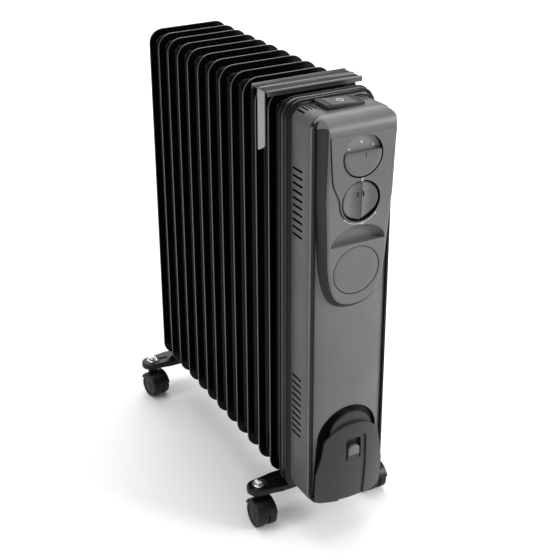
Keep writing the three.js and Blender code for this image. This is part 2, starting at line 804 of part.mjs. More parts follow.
// Plan of the bowed cover, offset backwards by the given amount.
function coverPlan(offset) {
  const shape = new THREE.Shape();
  const reach = coverHalfBottom + overrun;
  const sideY = coverY + coverCrown + offset;
  shape.moveTo(reach, sideY + 2 * overrun);
  shape.lineTo(reach, sideY);
  shape.quadraticCurveTo(reach * 0.5, coverY + offset - 1, 0, coverY + offset);
  shape.quadraticCurveTo(-reach * 0.5, coverY + offset - 1, -reach, sideY);
  shape.lineTo(-reach, sideY + 2 * overrun);
  shape.closePath();
  return shape;
}

function addCordCover() {
  const tall = coverTop - coverBase + 2 * overrun;
  const outline = upright(coverOutline(), coverY + 8 * overrun, 12 * overrun, { curveSegments: 6 });
  const bow = cut(
    lying(coverPlan(0), coverBase - overrun, tall, { curveSegments: 8 }),
    lying(coverPlan(coverSheet), coverBase - 2 * overrun, tall + 2 * overrun, { curveSegments: 8 }),
  );
  const channelBack = coverY + channelDepth;
  const channel = block(
    -channelHalfWidth, channelHalfWidth,
    coverY - 2 * overrun, channelBack,
    coverBase - overrun, channelTop,
  );
  const hookHole = block(
    -hookHalfWidth, hookHalfWidth,
    coverY - overrun, coverY + 4 * overrun,
    hookBottom, hookTop,
  );
  addPart('cord_cover', cut(overlap(bow, outline), channel, hookHole), paint.panel);
}

function addCordDrum() {
  const floorY = recessFloorY - wall;
  const flangeBack = coverY + coverSheet + coverBowAtDrum + drumFlangeThickness;
  const flange = spigot(drumFlangeRadius, 0, flangeBack, drumZ, drumFlangeThickness, 32);
  const drum = spigot(drumRadius, 0, floorY - gap, drumZ, floorY - gap - flangeBack + 1);
  const bore = spigot(drumRadius - 3, 0, floorY, drumZ, floorY - flangeBack);
  addPart('cord_drum', cut(join(flange, drum), bore), paint.housing);
}

// The hook fills the cover's hole at its foot, so it is narrower than the hole by the clearance.
function addPlugHook() {
  const hookBack = coverY + coverSheet - gap;
  const tongue = block(-5, 5, coverY + 1, hookBack, hookBottom + gap, hookBottom + 14);
  const half = hookHalfWidth - gap;
  const root = block(-half, half, coverY + 2, hookBack, hookBottom + gap, hookBottom + 5);
  addPart('plug_hook', join(tongue, root), paint.panel);
}

// ---- handle -------------------------------------------------------------------------------

function addHandleCap() {
  const top = finTop + handleSheet + 2 * gap;
  const half = handleHalfLength;
  const cap = block(-half, half, -handleHalfWidth, handleHalfWidth, top - handleLip, top);
  const inner = handleHalfWidth - handleSheet;
  const reach = half + overrun;
  const under = block(-reach, reach, -inner, inner, top - handleLip - overrun, top - handleSheet);
  const grooves = [-1, 1].map((side) => {
    const middle = side * grooveY;
    return block(-reach, reach, middle - grooveHalf, middle + grooveHalf, top - grooveDepth, top + overrun);
  });
  addPart('handle_cap', cut(cap, under, ...grooves), paint.handle).position.y = handleY;
}

function addStrap() {
  const outer = finWidth / 2 + 0.5;
  const legBottom = finTop - strapLength;
  const half = strapWidth / 2;
  const bar = block(-outer, outer, -half, half, finTop - strapSheet, finTop);
  const legs = [-1, 1].flatMap((side) => {
    const from = Math.min(side * outer, side * (outer - strapSheet));
    const leg = block(from, from + strapSheet, -half, half, legBottom, finTop);
    const toe = Math.min(side * outer, side * (outer - strapHook));
    return [leg, block(toe, toe + strapHook, -half, half, legBottom, legBottom + strapSheet)];
  });
  addPart('handle_strap', join(bar, ...legs), paint.handle).position.y = handleY;
}

// ---- feet ---------------------------------------------------------------------------------

function bracketOutline(inset) {
  const end = bracketHalfLength - bracketEndRadius;
  const radius = bracketEndRadius - inset;
  const half = bracketHalfWidth - inset;
  const shape = new THREE.Shape();
  shape.absarc(end, 0, radius, -Math.PI / 2, Math.PI / 2, false);
  shape.lineTo(bracketShoulder, half);
  shape.lineTo(-bracketShoulder, half);
  shape.absarc(-end, 0, radius, Math.PI / 2, 1.5 * Math.PI, false);
  shape.lineTo(-bracketShoulder, -half);
  shape.lineTo(bracketShoulder, -half);
  shape.closePath();
  return shape;
}

function addBracket(name, y, boltY) {
  const outer = lying(bracketOutline(0), bracketTop - bracketLip, bracketLip);
  const innerBase = bracketTop - bracketLip - overrun;
  const inner = lying(bracketOutline(bracketSheet), innerBase, bracketTop - bracketSheet - innerBase);
  const holeBase = bracketTop - 4 * overrun;
  const holes = [];
  for (const side of [-1, 1]) {
    holes.push(post(stemRadius + gap, side * casterX, 0, holeBase, 8 * overrun));
    holes.push(post(boltRadius + 2 * gap, side * boltReach, boltY - y, holeBase, 8 * overrun, 12));
  }
  addPart(`foot_bracket_${name}`, cut(outer, inner, ...holes), paint.shield).position.y = y;
}

function addUBolt(name, y) {
  const ends = bracketTop - boltTail;
  const shoulder = lowerHeader - 20;
  const points = [at(-boltReach, 0, ends), at(-boltReach, 0, shoulder)];
  for (const angle of [180, 150, 120, 90, 60, 30, 0]) {
    const z = lowerHeader + boltReach * Math.sin(turned(angle));
    points.push(at(boltReach * Math.cos(turned(angle)), 0, z));
  }
  points.push(at(boltReach, 0, shoulder), at(boltReach, 0, ends));
  const nutBase = bracketTop - bracketSheet - boltNutHeight - gap;
  const nuts = [-1, 1].map((side) => post(boltNutRadius, side * boltReach, 0, nutBase, boltNutHeight, 6));
  addPart(`u_bolt_${name}`, join(tube(points, boltRadius, 16, 6), ...nuts), paint.zinc).position.y = y;
}

// Hood of a twin-wheel caster, with its web, axle and neck, drawn about the swivel axis.
function hoodGeometry() {
  const z = wheelRadius;
  const ring = cut(
    axle(hoodRadius, 0, -casterTrail, z, 2 * hoodHalfWidth, 20),
    axle(hoodInner, 0, -casterTrail, z, 2 * hoodHalfWidth + overrun, 20),
  );
  const reach = 2 * hoodRadius;
  const upper = block(-reach, reach, -reach, reach, z + hoodSkirt, z + reach);
  const web = axle(wheelRadius - 2, 0, -casterTrail, z, 2 * hoodWeb, 16);
  const rib = block(-hoodWeb, hoodWeb, -casterTrail - 8, 2, z, z + hoodInner + 1);
  const pin = axle(axleRadius, 0, -casterTrail, z, 2 * hoodHalfWidth - 2, 10);
  const neck = post(neckRadius, 0, 0, neckBase, neckTop - neckBase, 14);
  const rooms = [1, -1].map((side) => {
    const x = side * (wheelInner + wheelWidth / 2);
    return axle(wheelRadius + wheelRoom, x, -casterTrail, z, wheelWidth + 2 * gap, 20);
  });
  const socket = post(stemRadius + gap, 0, 0, stemBase - gap, 12 * overrun, 12);
  const shape = cut(join(overlap(ring, upper), web, rib, neck), ...rooms);
  return cut(join(shape, pin), socket);
}

function wheelGeometry() {
  const half = wheelWidth / 2;
  const edge = half - treadShoulder;
  const shoulder = wheelRadius - treadBevel;
  const profile = [
    [axleBore, -half], [shoulder, -half], [wheelRadius, -edge], [wheelRadius, edge],
    [shoulder, half], [axleBore, half], [axleBore, -half],
  ];
  const points = profile.map(([radius, across]) => new THREE.Vector2(radius, across));
  return new THREE.LatheGeometry(points, 20);
}

function stemGeometry() {
  const seat = bracketTop + gap;
  const washer = post(stemWasherRadius, 0, 0, seat, stemWasher, 12);
  const nut = post(stemNutRadius, 0, 0, seat + 1, stemNutHeight, 6);
  const stemTop = bracketTop + stemNutHeight + 3;
  const stem = post(stemRadius, 0, 0, stemBase, stemTop - stemBase, 12);
  return join(stem, washer, nut);
}

function addCaster(name, x, y, turn) {
  const caster = new THREE.Group();
  caster.position.set(x, y, 0);
  caster.rotation.z = turn;
  heater.add(caster);
  addPart(`caster_stem_${name}`, stemGeometry(), paint.zinc, caster);
  addPart(`caster_hood_${name}`, hoodGeometry(), paint.caster, caster);
  for (const [label, side] of [['left', -1], ['right', 1]]) {
    const wheel = addPart(`caster_wheel_${name}_${label}`, wheelGeometry(), paint.caster, caster);
    wheel.position.set(side * (wheelInner + wheelWidth / 2), -casterTrail, wheelRadius);
    wheel.rotation.z = side * Math.PI / 2;
  }
}

function addFeet() {
  addBracket('rear', rearBracketY, firstFinY - finPitch / 2);
  addBracket('front', frontBracketY, frontBracketY);
  addUBolt('rear', firstFinY - finPitch / 2);
  addUBolt('front', frontBracketY);
  addCaster('rear_left', -casterX, rearBracketY, rearCasterTurn);
  addCaster('rear_right', casterX, rearBracketY, -rearCasterTurn);
  addCaster('front_left', -casterX, frontBracketY, 0);
  addCaster('front_right', casterX, frontBracketY, 0);
}

addFins();
addOilPlug();
addHeatingElement();
addBackPlates();
addShell();
addCordGland();
addFrontPanel();
addConsole();
addScalePlate();
addSelectorDial();
addThermostatKnob();
addBlankingCap();
addRocker();
addControls();
addPlateParts();
addLoom();
addCordCover();
addCordDrum();
addPlugHook();
addHandleCap();
addStrap();
addFeet();

export default heater;
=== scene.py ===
"""Looks of an oil filled radiator heater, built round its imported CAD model.

Lengths are in metres, +Z is up, the control housing faces -Y and the floor is z = 0.
"""

import json
import math

import bmesh
import bpy
import numpy as np
from mathutils import Euler, Matrix, Vector


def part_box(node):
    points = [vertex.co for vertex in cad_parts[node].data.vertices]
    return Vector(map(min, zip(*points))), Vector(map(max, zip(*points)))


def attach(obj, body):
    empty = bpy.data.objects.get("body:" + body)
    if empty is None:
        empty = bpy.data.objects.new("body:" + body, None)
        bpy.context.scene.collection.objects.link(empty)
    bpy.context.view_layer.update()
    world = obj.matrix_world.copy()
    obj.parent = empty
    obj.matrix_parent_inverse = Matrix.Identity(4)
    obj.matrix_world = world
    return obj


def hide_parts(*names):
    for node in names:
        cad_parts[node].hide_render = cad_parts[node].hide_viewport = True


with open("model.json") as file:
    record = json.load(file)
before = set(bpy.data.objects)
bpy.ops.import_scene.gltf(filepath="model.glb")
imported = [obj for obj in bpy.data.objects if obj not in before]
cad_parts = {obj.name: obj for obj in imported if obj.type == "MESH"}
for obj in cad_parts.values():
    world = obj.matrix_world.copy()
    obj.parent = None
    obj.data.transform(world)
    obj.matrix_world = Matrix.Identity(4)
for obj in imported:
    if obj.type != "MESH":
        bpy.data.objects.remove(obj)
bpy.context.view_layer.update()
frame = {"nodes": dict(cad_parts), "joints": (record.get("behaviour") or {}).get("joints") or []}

MM = 0.001
ROOT = "heater"
GRAIN_HEIGHT = 0.2 * MM


# ---- where the CAD pieces are --------------------------------------------------------------


def low(node):
    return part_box(node)[0]


def high(node):
    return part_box(node)[1]


# ---- materials -----------------------------------------------------------------------------


def node_tree(name):
    material = bpy.data.materials.new(name)
    material.use_nodes = True
    tree = material.node_tree
    shader = tree.nodes["Principled BSDF"]
    return material, tree, shader


def noise_of(tree, scale, detail):
    """A noise pattern in object space; scale is in features per metre."""
    where = tree.nodes.new("ShaderNodeTexCoord")
    noise = tree.nodes.new("ShaderNodeTexNoise")
    noise.inputs["Scale"].default_value = scale
    noise.inputs["Detail"].default_value = detail
    tree.links.new(where.outputs["Object"], noise.inputs["Vector"])
    return noise.outputs["Fac"]


def ramp_between(tree, factor, first, last, start=0.3, end=0.7):
    ramp = tree.nodes.new("ShaderNodeValToRGB")
    ramp.color_ramp.elements[0].position = start
    ramp.color_ramp.elements[1].position = end
    ramp.color_ramp.elements[0].color = (*first, 1)
    ramp.color_ramp.elements[1].color = (*last, 1)
    tree.links.new(factor, ramp.inputs["Fac"])
    return ramp.outputs["Color"]


def range_between(tree, factor, first, last):
    span = tree.nodes.new("ShaderNodeMapRange")
    span.inputs["To Min"].default_value = first
    span.inputs["To Max"].default_value = last
    tree.links.new(factor, span.inputs["Value"])
    return span.outputs["Result"]


def bump_from(tree, shader, height, strength, distance):
    bump = tree.nodes.new("ShaderNodeBump")
    bump.inputs["Strength"].default_value = strength
    bump.inputs["Distance"].default_value = distance
    tree.links.new(height, bump.inputs["Height"])
    tree.links.new(bump.outputs["Normal"], shader.inputs["Normal"])


def shade(value, factor):
    return tuple(min(1.0, channel * factor) for channel in value)


def surface(name, color, roughness, grain, depth, specular=0.5, metallic=0.0, vary=0.12):
    """A material with a fine grain in its bump and slow changes in its colour and gloss."""
    material, tree, shader = node_tree(name)
    slow = noise_of(tree, 9.0, 2.0)
    color_out = ramp_between(tree, slow, shade(color, 1 - vary), shade(color, 1 + vary))
    tree.links.new(color_out, shader.inputs["Base Color"])
    smears = noise_of(tree, 34.0, 4.0)
    gloss = range_between(tree, smears, roughness * 0.88, roughness * 1.12)
    tree.links.new(gloss, shader.inputs["Roughness"])
    bump_from(tree, shader, noise_of(tree, grain, 2.0), depth, GRAIN_HEIGHT)
    shader.inputs["Specular IOR Level"].default_value = specular
    shader.inputs["Metallic"].default_value = metallic
    return material


looks = {
    "fin": surface("fin_enamel", (0.0016, 0.0016, 0.0017), 0.22, 420, 0.10, specular=0.11),
    # the fins' rim edges: black enamel with a lighter colour painted on as highlight lines
    "fin_rim_highlight": surface("fin_rim_painted_highlight", (0.030, 0.030, 0.031), 0.20, 420, 0.08, specular=0.7),
    "sheet": surface("black_sheet", (0.004, 0.004, 0.0042), 0.28, 600, 0.12, specular=0.22),
    "shell": surface("charcoal_shell", (0.064, 0.0612, 0.0648), 0.44, 2600, 0.22, specular=0.40),
    "panel": surface("charcoal_panel", (0.105, 0.101, 0.107), 0.40, 2600, 0.20, specular=0.42),
    "cover": surface("charcoal_cover", (0.026, 0.0252, 0.0268), 0.42, 2600, 0.20, specular=0.3),
    "knob": surface("control_plastic", (0.094, 0.091, 0.097), 0.30, 2200, 0.12, specular=0.5),
    # near-black painted shade for slot, hole and groove walls and the tongue's side wall; also the colour of
    # the dial's pointer and the knob's marks
    "gap": surface("black_painted_shade_and_marks", (0.003, 0.003, 0.003), 0.6, 1500, 0.1, specular=0.2),
    "zinc": surface("zinc_plate", (0.62, 0.62, 0.64), 0.24, 900, 0.12, metallic=1.0),
    "sheath": surface("element_sheath", (0.42, 0.40, 0.36), 0.42, 900, 0.2, metallic=0.9),
    "handle": surface("handle_lacquer", (0.060, 0.054, 0.053), 0.30, 1600, 0.10, metallic=0.5),
    "rubber": surface("black_rubber", (0.012, 0.012, 0.012), 0.7, 1200, 0.3, specular=0.3),
    "caster": surface("caster_plastic", (0.0045, 0.0045, 0.0048), 0.38, 1800, 0.2, specular=0.3),
    "tyre": surface("caster_tread", (0.0065, 0.0065, 0.0068), 0.5, 2200, 0.3, specular=0.25),
    "scale": surface("scale_plastic", (0.15, 0.145, 0.15), 0.45, 1800, 0.15),
    # walls of the cord store's arch: near-black painted shade on the panel plastic
    "recess_painted_shade": surface("recess_wall_painted_shade", (0.008, 0.008, 0.0085), 0.46, 2600, 0.2, specular=0.2),
    # walls of the dial, knob and cap wells: near-black painted shade on the console plastic
    "well_painted_shade": surface("well_wall_painted_shade", (0.012, 0.012, 0.012), 0.45, 2000, 0.2, specular=0.25),
    # the console's sloped side walls: the face's plastic, painted near-black as shade
    "console_wall_painted_shade": surface("console_wall_painted_shade", (0.016, 0.0155, 0.0165), 0.40, 2600, 0.2, specular=0.22),
    "strap": surface("strap_lacquer", (0.24, 0.22, 0.22), 0.36, 1600, 0.10, metallic=0.4),
    "black": surface("moulded_black", (0.012, 0.012, 0.013), 0.38, 2000, 0.15),
    "ceramic": surface("ceramic", (0.62, 0.58, 0.50), 0.5, 900, 0.2),
    "print": surface("white_print", (0.62, 0.62, 0.62), 0.5, 1500, 0.05),
}


# ---- mesh building -------------------------------------------------------------------------


def add_mesh(name, vertices, faces, look, body=ROOT, sharp=32.0, bevel=0.0, accents=None):
    """accents maps a look's name to the numbers of the faces that it covers."""
    mesh = bpy.data.meshes.new(name)
    mesh.from_pydata([tuple(v) for v in vertices], [], faces)
    mesh.materials.append(looks[look])
    for index, (accent, numbers) in enumerate((accents or {}).items()):
        mesh.materials.append(looks[accent])
        for number in numbers:
            mesh.polygons[number].material_index = index + 1
    piece = bpy.data.objects.new(name, mesh)
    bpy.context.scene.collection.objects.link(piece)
    tidy_mesh(mesh, sharp)
    if bevel:
        add_bevel(piece, bevel)
    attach(piece, body)
    return piece


def tidy_mesh(mesh, sharp):
    bm = bmesh.new()
    bm.from_mesh(mesh)
    bmesh.ops.remove_doubles(bm, verts=bm.verts, dist=1e-6)
    bmesh.ops.recalc_face_normals(bm, faces=bm.faces)
    for face in bm.faces:
        face.smooth = True
    for edge in bm.edges:
        if len(edge.link_faces) == 2:
            edge.smooth = edge.calc_face_angle(0.0) < math.radians(sharp)
    bm.to_mesh(mesh)
    bm.free()


def add_bevel(piece, width):
    bevel = piece.modifiers.new("bevel", "BEVEL")
    bevel.width = width
    bevel.segments = 2
    bevel.limit_method = "ANGLE"
    bevel.angle_limit = math.radians(35)
    bevel.harden_normals = False


def apply_modifiers(piece, sharp=32.0):
    bpy.context.view_layer.update()
    evaluated = piece.evaluated_get(bpy.context.evaluated_depsgraph_get())
    mesh = bpy.data.meshes.new_from_object(evaluated)
    piece.modifiers.clear()
    old = piece.data
    piece.data = mesh
    bpy.data.meshes.remove(old)
    tidy_mesh(mesh, sharp)


def carve(piece, cutters, look="gap"):
    """Cuts closed tool meshes out of a piece; the cut walls take the given look, by default the black
    painted shade.
    """
    for vertices, faces in cutters:
        mesh = bpy.data.meshes.new("cutter")
        mesh.from_pydata([tuple(v) for v in vertices], [], faces)
        tidy_mesh(mesh, 40)
        mesh.materials.append(looks[look])
        tool = bpy.data.objects.new("cutter", mesh)
        bpy.context.scene.collection.objects.link(tool)
        boolean = piece.modifiers.new("cut", "BOOLEAN")
        boolean.object = tool
        boolean.operation = "DIFFERENCE"
        boolean.solver = "EXACT"
        boolean.material_mode = "TRANSFER"
        apply_modifiers(piece)
        bpy.data.objects.remove(tool)
        bpy.data.meshes.remove(mesh)


def loft(rings, closed=True, caps=True, joined=False):
    """Faces between rings of equal length. joined links the last ring back to the first."""
    count = len(rings[0])
    vertices = [point for ring in rings for point in ring]
    faces = []
    spans = len(rings) if joined else len(rings) - 1
    for level in range(spans):
        a = level * count
        b = ((level + 1) % len(rings)) * count
        for i in range(count if closed else count - 1):
            j = (i + 1) % count
            faces.append((a + i, a + j, b + j, b + i))
    if caps and not joined:
        faces.append(tuple(range(count)))
        faces.append(tuple(range((len(rings) - 1) * count, len(rings) * count)))
    return vertices, faces


def span_faces(count, spans):
    """Numbers of the faces that loft() makes for these spans between rings of count points."""
    return [span * count + i for span in spans for i in range(count)]


def merge(*parts):
    vertices, faces = [], []
    for part_vertices, part_faces in parts:
        base = len(vertices)
        vertices += list(part_vertices)
        faces += [tuple(base + i for i in face) for face in part_faces]
    return vertices, faces


def moved(part, offset=(0, 0, 0), turn=(0, 0, 0)):
    matrix = Matrix.Translation(offset) @ Euler(turn).to_matrix().to_4x4()
    return [matrix @ Vector(v) for v in part[0]], part[1]


def arc(cx, cy, radius, start, end, steps):
    angles = np.linspace(math.radians(start), math.radians(end), steps + 1)
    return [(cx + radius * math.cos(a), cy + radius * math.sin(a)) for a in angles]


def around(sides):
    """Angles of the corners of a polygon."""
    return np.linspace(0, 2 * math.pi, sides, endpoint=False)


def in_mm(points):
    return [tuple(value * MM for value in point) for point in points]


def rounded(half, base, top, top_radius, bottom_radius, inset=0.0, steps=8):
    """Rounded upright rectangle in x and z, always with the same number of points."""
    h = half - inset
    b, t = base + inset, top - inset
    rt, rb = max(top_radius - inset, 1e-5), max(bottom_radius - inset, 1e-5)
    return (
        arc(h - rb, b + rb, rb, -90, 0, steps)
        + arc(h - rt, t - rt, rt, 0, 90, steps)
        + arc(rt - h, t - rt, rt, 90, 180, steps)
        + arc(rb - h, b + rb, rb, 180, 270, steps)
    )


def upright_ring(outline, y):
    return [(x, y, z) for x, z in outline]


def turned_profile(profile, sides=48):
    """Profile of (radius, along) turned about the y axis, ends on the axis closed."""
    rings = []
    for radius, along in profile:
        rings.append([
            (radius * math.cos(2 * math.pi * i / sides), along, radius * math.sin(2 * math.pi * i / sides))
            for i in range(sides)
        ])
    return loft(rings)


def tube(points, radius, sides=10):
    """A round bar along a polyline."""
    path = [Vector(p) for p in points]
    rings = []
    side = None
    for i, point in enumerate(path):
        ahead = path[min(i + 1, len(path) - 1)] - path[max(i - 1, 0)]
        ahead.normalize()
        if side is None:
            side = ahead.orthogonal().normalized()
        side = (side - ahead * side.dot(ahead)).normalized()
        other = ahead.cross(side)
        rings.append([point + radius * (side * math.cos(t) + other * math.sin(t)) for t in around(sides)])
    return loft(rings)


def box_part(x0, x1, y0, y1, z0, z1):
    vertices = [(x, y, z) for x in (x0, x1) for y in (y0, y1) for z in (z0, z1)]
    faces = [(0, 1, 3, 2), (4, 6, 7, 5), (0, 4, 5, 1), (2, 3, 7, 6), (0, 2, 6, 4), (1, 5, 7, 3)]
    return vertices, faces


def stadium(length, width, depth, steps=6):
    """Round-ended bar along y, its ends rounded in y and z, cut through along x."""
    half = length / 2 - width / 2
    outline = arc(half, 0, width / 2, -90, 90, steps) + arc(-half, 0, width / 2, 90, 270, steps)
    return loft([[(x, y, z) for y, z in outline] for x in (-depth / 2, depth / 2)])


# ---- radiator ------------------------------------------------------------------------------

FIN_COUNT = 12
FIN_RIM = 9 * MM
RIM_HALF = 1.1 * MM
BODY_HALF = 7.5 * MM
TOP_RADIUS = 22 * MM
BOTTOM_RADIUS = 25 * MM
HEADER_RADIUS = 21 * MM
HEADER_INSET = 48 * MM
PITCH = 34.85 * MM

first_y = high("fin_01").y - BODY_HALF
fin_low, fin_high = low("fin_01"), high("fin_01")
half_fin = fin_high.x


def fin_outline(inset):
    return rounded(half_fin, fin_low.z, fin_high.z, TOP_RADIUS, BOTTOM_RADIUS, inset)


def fin_profile():
    """Inset and offset of one half of a fin, from the middle of its face out to its rim."""
    profile = [(30 * MM, -BODY_HALF), (24 * MM, -BODY_HALF), (19 * MM, -BODY_HALF + 0.1 * MM)]
    for step in range(1, 7):
        angle = math.radians(90 * step / 6)
        inset = FIN_RIM + 1.2 * MM + 8 * MM * (1 - math.sin(angle))
        depth = RIM_HALF + (BODY_HALF - RIM_HALF) * math.cos(angle)
        profile.append((inset, -depth))
    profile.append((FIN_RIM - 0.5 * MM, -RIM_HALF))
    profile.append((1.6 * MM, -RIM_HALF))
    for angle in (25, 60, 90):
        turn = math.radians(angle)
        profile.append((1.4 * MM * (1 - math.sin(turn)), -1.35 * MM * math.cos(turn)))
    return profile


def fin_mesh():
    half = fin_profile()
    rings = [upright_ring(fin_outline(inset), y) for inset, y in half]
    rings += [upright_ring(fin_outline(inset), -y) for inset, y in reversed(half[:-1])]
    return loft(rings)


def collar(y, z):
    """The header's collar between a fin and the one in front, with its weld's groove."""
    reach = PITCH - 2 * BODY_HALF
    start = y - BODY_HALF + 0.5 * MM
    weld = start - reach / 2
    profile = [
        (HEADER_RADIUS, start), (HEADER_RADIUS, weld + 1.2 * MM), (HEADER_RADIUS - 0.8 * MM, weld),
        (HEADER_RADIUS, weld - 1.2 * MM), (HEADER_RADIUS, start - reach - 0.2 * MM),
    ]
    return moved(turned_profile(profile, 36), (0, 0, z))


def add_fins():
    """All fins, the rounded edges of their rims in a lighter colour as painted highlight lines. The one at
    the front has no upper collar.
    """
    body = fin_mesh()
    # faces of the rims' rounded edges, which carry the painted highlight colour
    first_edge = len(fin_profile()) - 3
    edges = span_faces(len(fin_outline(0)), range(first_edge, first_edge + 4))
    for index in range(FIN_COUNT):
        y = first_y - index * PITCH
        parts = [moved(body, (0, y, 0)), collar(y, fin_low.z + HEADER_INSET)]
        if index < FIN_COUNT - 1:
            parts.append(collar(y, fin_high.z - HEADER_INSET))
        name = f"fin_{index + 1:02d}"
        piece = add_mesh(f"look_{name}", *merge(*parts), "fin", accents={"fin_rim_highlight": edges})
        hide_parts(name)


# ---- layers behind the housing -------------------------------------------------------------


def add_layers():
    """The heat shield and the back plate, with softened edges."""
    for node in ("heat_shield", "housing_back_plate"):
        a, b = low(node), high(node)
        edge = min(0.8 * MM, (b.y - a.y) * 0.4)
        slight = 0.3 * edge
        stages = [
            (30 * MM, a.y), (edge, a.y), (slight, a.y + slight), (0, a.y + edge),
            (0, b.y - edge), (slight, b.y - slight), (edge, b.y), (30 * MM, b.y),
        ]
        rings = [
            upright_ring(rounded(b.x, a.z, b.z, TOP_RADIUS, BOTTOM_RADIUS, inset), y)
            for inset, y in stages
        ]
        piece = add_mesh(f"look_{node}", *loft(rings), "sheet")
        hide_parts(node)


# ---- housing shell -------------------------------------------------------------------------

SHELL_RADIUS = 16 * MM
shell_low, shell_high = low("housing_shell"), high("housing_shell")
panel_low, panel_high = low("front_panel"), high("front_panel")
shell_half = 58 * MM
shell_top = 628 * MM
shell_base = 67 * MM
SLOT_PITCH = 9.9 * MM
SLOT_ROWS = 10
TOP_SLOTS = (34 * MM, 39.6 * MM, 45.2 * MM, 50.8 * MM)
# Profile of the black ring of painted shade in the parting groove, as (inset, y) in mm.
GROOVE_SHADE_PROFILE = [(4.5, -222), (1.6, -222), (1.6, -236), (4.5, -236)]


def shell_ring(inset, y, extra=0.0):
    return upright_ring(rounded(shell_half + extra, shell_base - extra, shell_top + extra,
                                SHELL_RADIUS + extra, SHELL_RADIUS + extra, inset, 10), y)


def add_shell():
    back, front = shell_high.y, shell_low.y
    flange = shell_high.x - shell_half
    rings = [shell_ring(8 * MM, back)]
    rings.append(shell_ring(0.8 * MM, back, flange))
    rings.append(shell_ring(0, back - 0.8 * MM, flange))
    rings.append(shell_ring(0, back - 3.2 * MM, flange))
    rings.append(shell_ring(0.6 * MM, back - 4.0 * MM, flange))
    for angle in (15, 35, 55, 75, 90):
        turn = math.radians(angle)
        y = back - 4 * MM - 4.5 * MM * (1 - math.cos(turn))
        rings.append(shell_ring(0, y, flange * (1 - math.sin(turn))))
    rings.append(shell_ring(0, front + 1.2 * MM))
    rings.append(shell_ring(0.35 * MM, front + 0.35 * MM))
    rings.append(shell_ring(1.2 * MM, front))
    rings.append(shell_ring(2.6 * MM, front))
    rings.append(shell_ring(2.8 * MM, front + 6 * MM))
    inner_back = [shell_ring(2.8 * MM, back - 0.4 * MM)]
    # The back flange and the fillet in front of it take the black sheet look: black metal on the flange,
    # painted shade on the plastic fillet.
    black_flange_and_fillet_shade = {"sheet": span_faces(len(rings[0]), range(8))}
    body = loft(rings + inner_back, joined=True)
    piece = add_mesh("look_housing_shell", *body, "shell", accents=black_flange_and_fillet_shade)
    # the vents' and rocker hole's cut walls take the black painted shade
    carve(piece, side_slots() + top_openings())
    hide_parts("housing_shell")


def add_parting_groove_shade():
    """A black ring of painted shade in the groove between the shell's front edge and the front panel."""
    outline = (shell_half, shell_base, shell_top, SHELL_RADIUS, SHELL_RADIUS)
    rings = [upright_ring(rounded(*outline, inset, 10), y) for inset, y in in_mm(GROOVE_SHADE_PROFILE)]
    piece = add_mesh("look_parting_groove_shade", *loft(rings, joined=True), "gap")


def side_slots():
    tools = []
    y = shell_high.y - 21 * MM
    for top in (552 * MM, 254 * MM):
        for row in range(SLOT_ROWS):
            slot = stadium(25 * MM, 3.4 * MM, 140 * MM)
            tools.append(moved(slot, (0, y, top - row * SLOT_PITCH)))
    return [merge(*tools)]


def top_openings():
    rocker_low, rocker_high = low("power_rocker"), high("power_rocker")
    edge = 1.2 * MM
    hole = box_part(rocker_low.x + edge, rocker_high.x - edge, rocker_low.y + edge, rocker_high.y - edge,
                    shell_top - 30 * MM, shell_top + 5 * MM)
    back = shell_high.y - 7.7 * MM
    slots = []
    for x in [side * x for side in (-1, 1) for x in TOP_SLOTS]:
        slots.append(box_part(x - 1.2 * MM, x + 1.2 * MM, back - 17 * MM, back,
                              shell_top - 20 * MM, shell_top + 5 * MM))
    return [hole, merge(*slots)]


# ---- front panel ---------------------------------------------------------------------------

PANEL_RADIUS = 16 * MM
panel_back = panel_high.y
panel_half = panel_high.x
panel_top = shell_top
CROWN = 10.5 * MM
PANEL_EDGE = 2 * MM
PANEL_FRONT = panel_back - PANEL_EDGE


def crown_y(x):
    share = min(1.0, abs(x) / panel_half)
    return PANEL_FRONT - CROWN * math.sqrt(1 - share * share)


def columns(xs, z_low, z_high, y_front, y_back, rows=30):
    """A plate made of upright strips: rings in the y, z plane at each x, front face then back face."""
    rings = []
    for x in xs:
        heights = np.linspace(z_low(x), z_high(x), rows)
        ring = [(x, y_front(x, z), z) for z in heights]
        ring += [(x, y_back(x, z), z) for z in reversed(heights)]
        rings.append(ring)
    return loft(rings)


def even_columns(half, count=44):
    """Positions across a plate that crowd together towards its edges."""
    return [half * math.sin(math.pi / 2 * t) for t in np.linspace(-1, 1, count)]


def corner_drop(x, half, radius):
    """How far a rounded corner has cut in at x."""
    inside = abs(x) - (half - radius)
    if inside <= 0:
        return 0.0
    return radius - math.sqrt(max(radius * radius - inside * inside, 0.0))


def arch_outline(grow, half=45 * MM, top=211 * MM, radius=44 * MM, base=40 * MM):
    h, r, t = half + grow, radius + grow, top + grow
    side = [(h + 9 * MM, base), (h + 5 * MM, base + 60 * MM), (h + 1.5 * MM, t - r - 10 * MM)]
    bend = [(h * math.cos(a), t - r + r * math.sin(a)) for a in np.linspace(0.06, math.pi - 0.06, 29)]
    return side + bend + [(-x, z) for x, z in reversed(side)]


def recess_tool():
    """The cord store's arch, with walls that spread in a soft curve towards the panel's face."""
    stages = [(0, -229 * MM), (0.6 * MM, -233 * MM), (2.4 * MM, -237 * MM), (5.2 * MM, -240.2 * MM),
              (8.6 * MM, -242.6 * MM), (12.5 * MM, -244.6 * MM), (16 * MM, -247 * MM)]
    return loft([upright_ring(arch_outline(grow), y) for grow, y in stages])


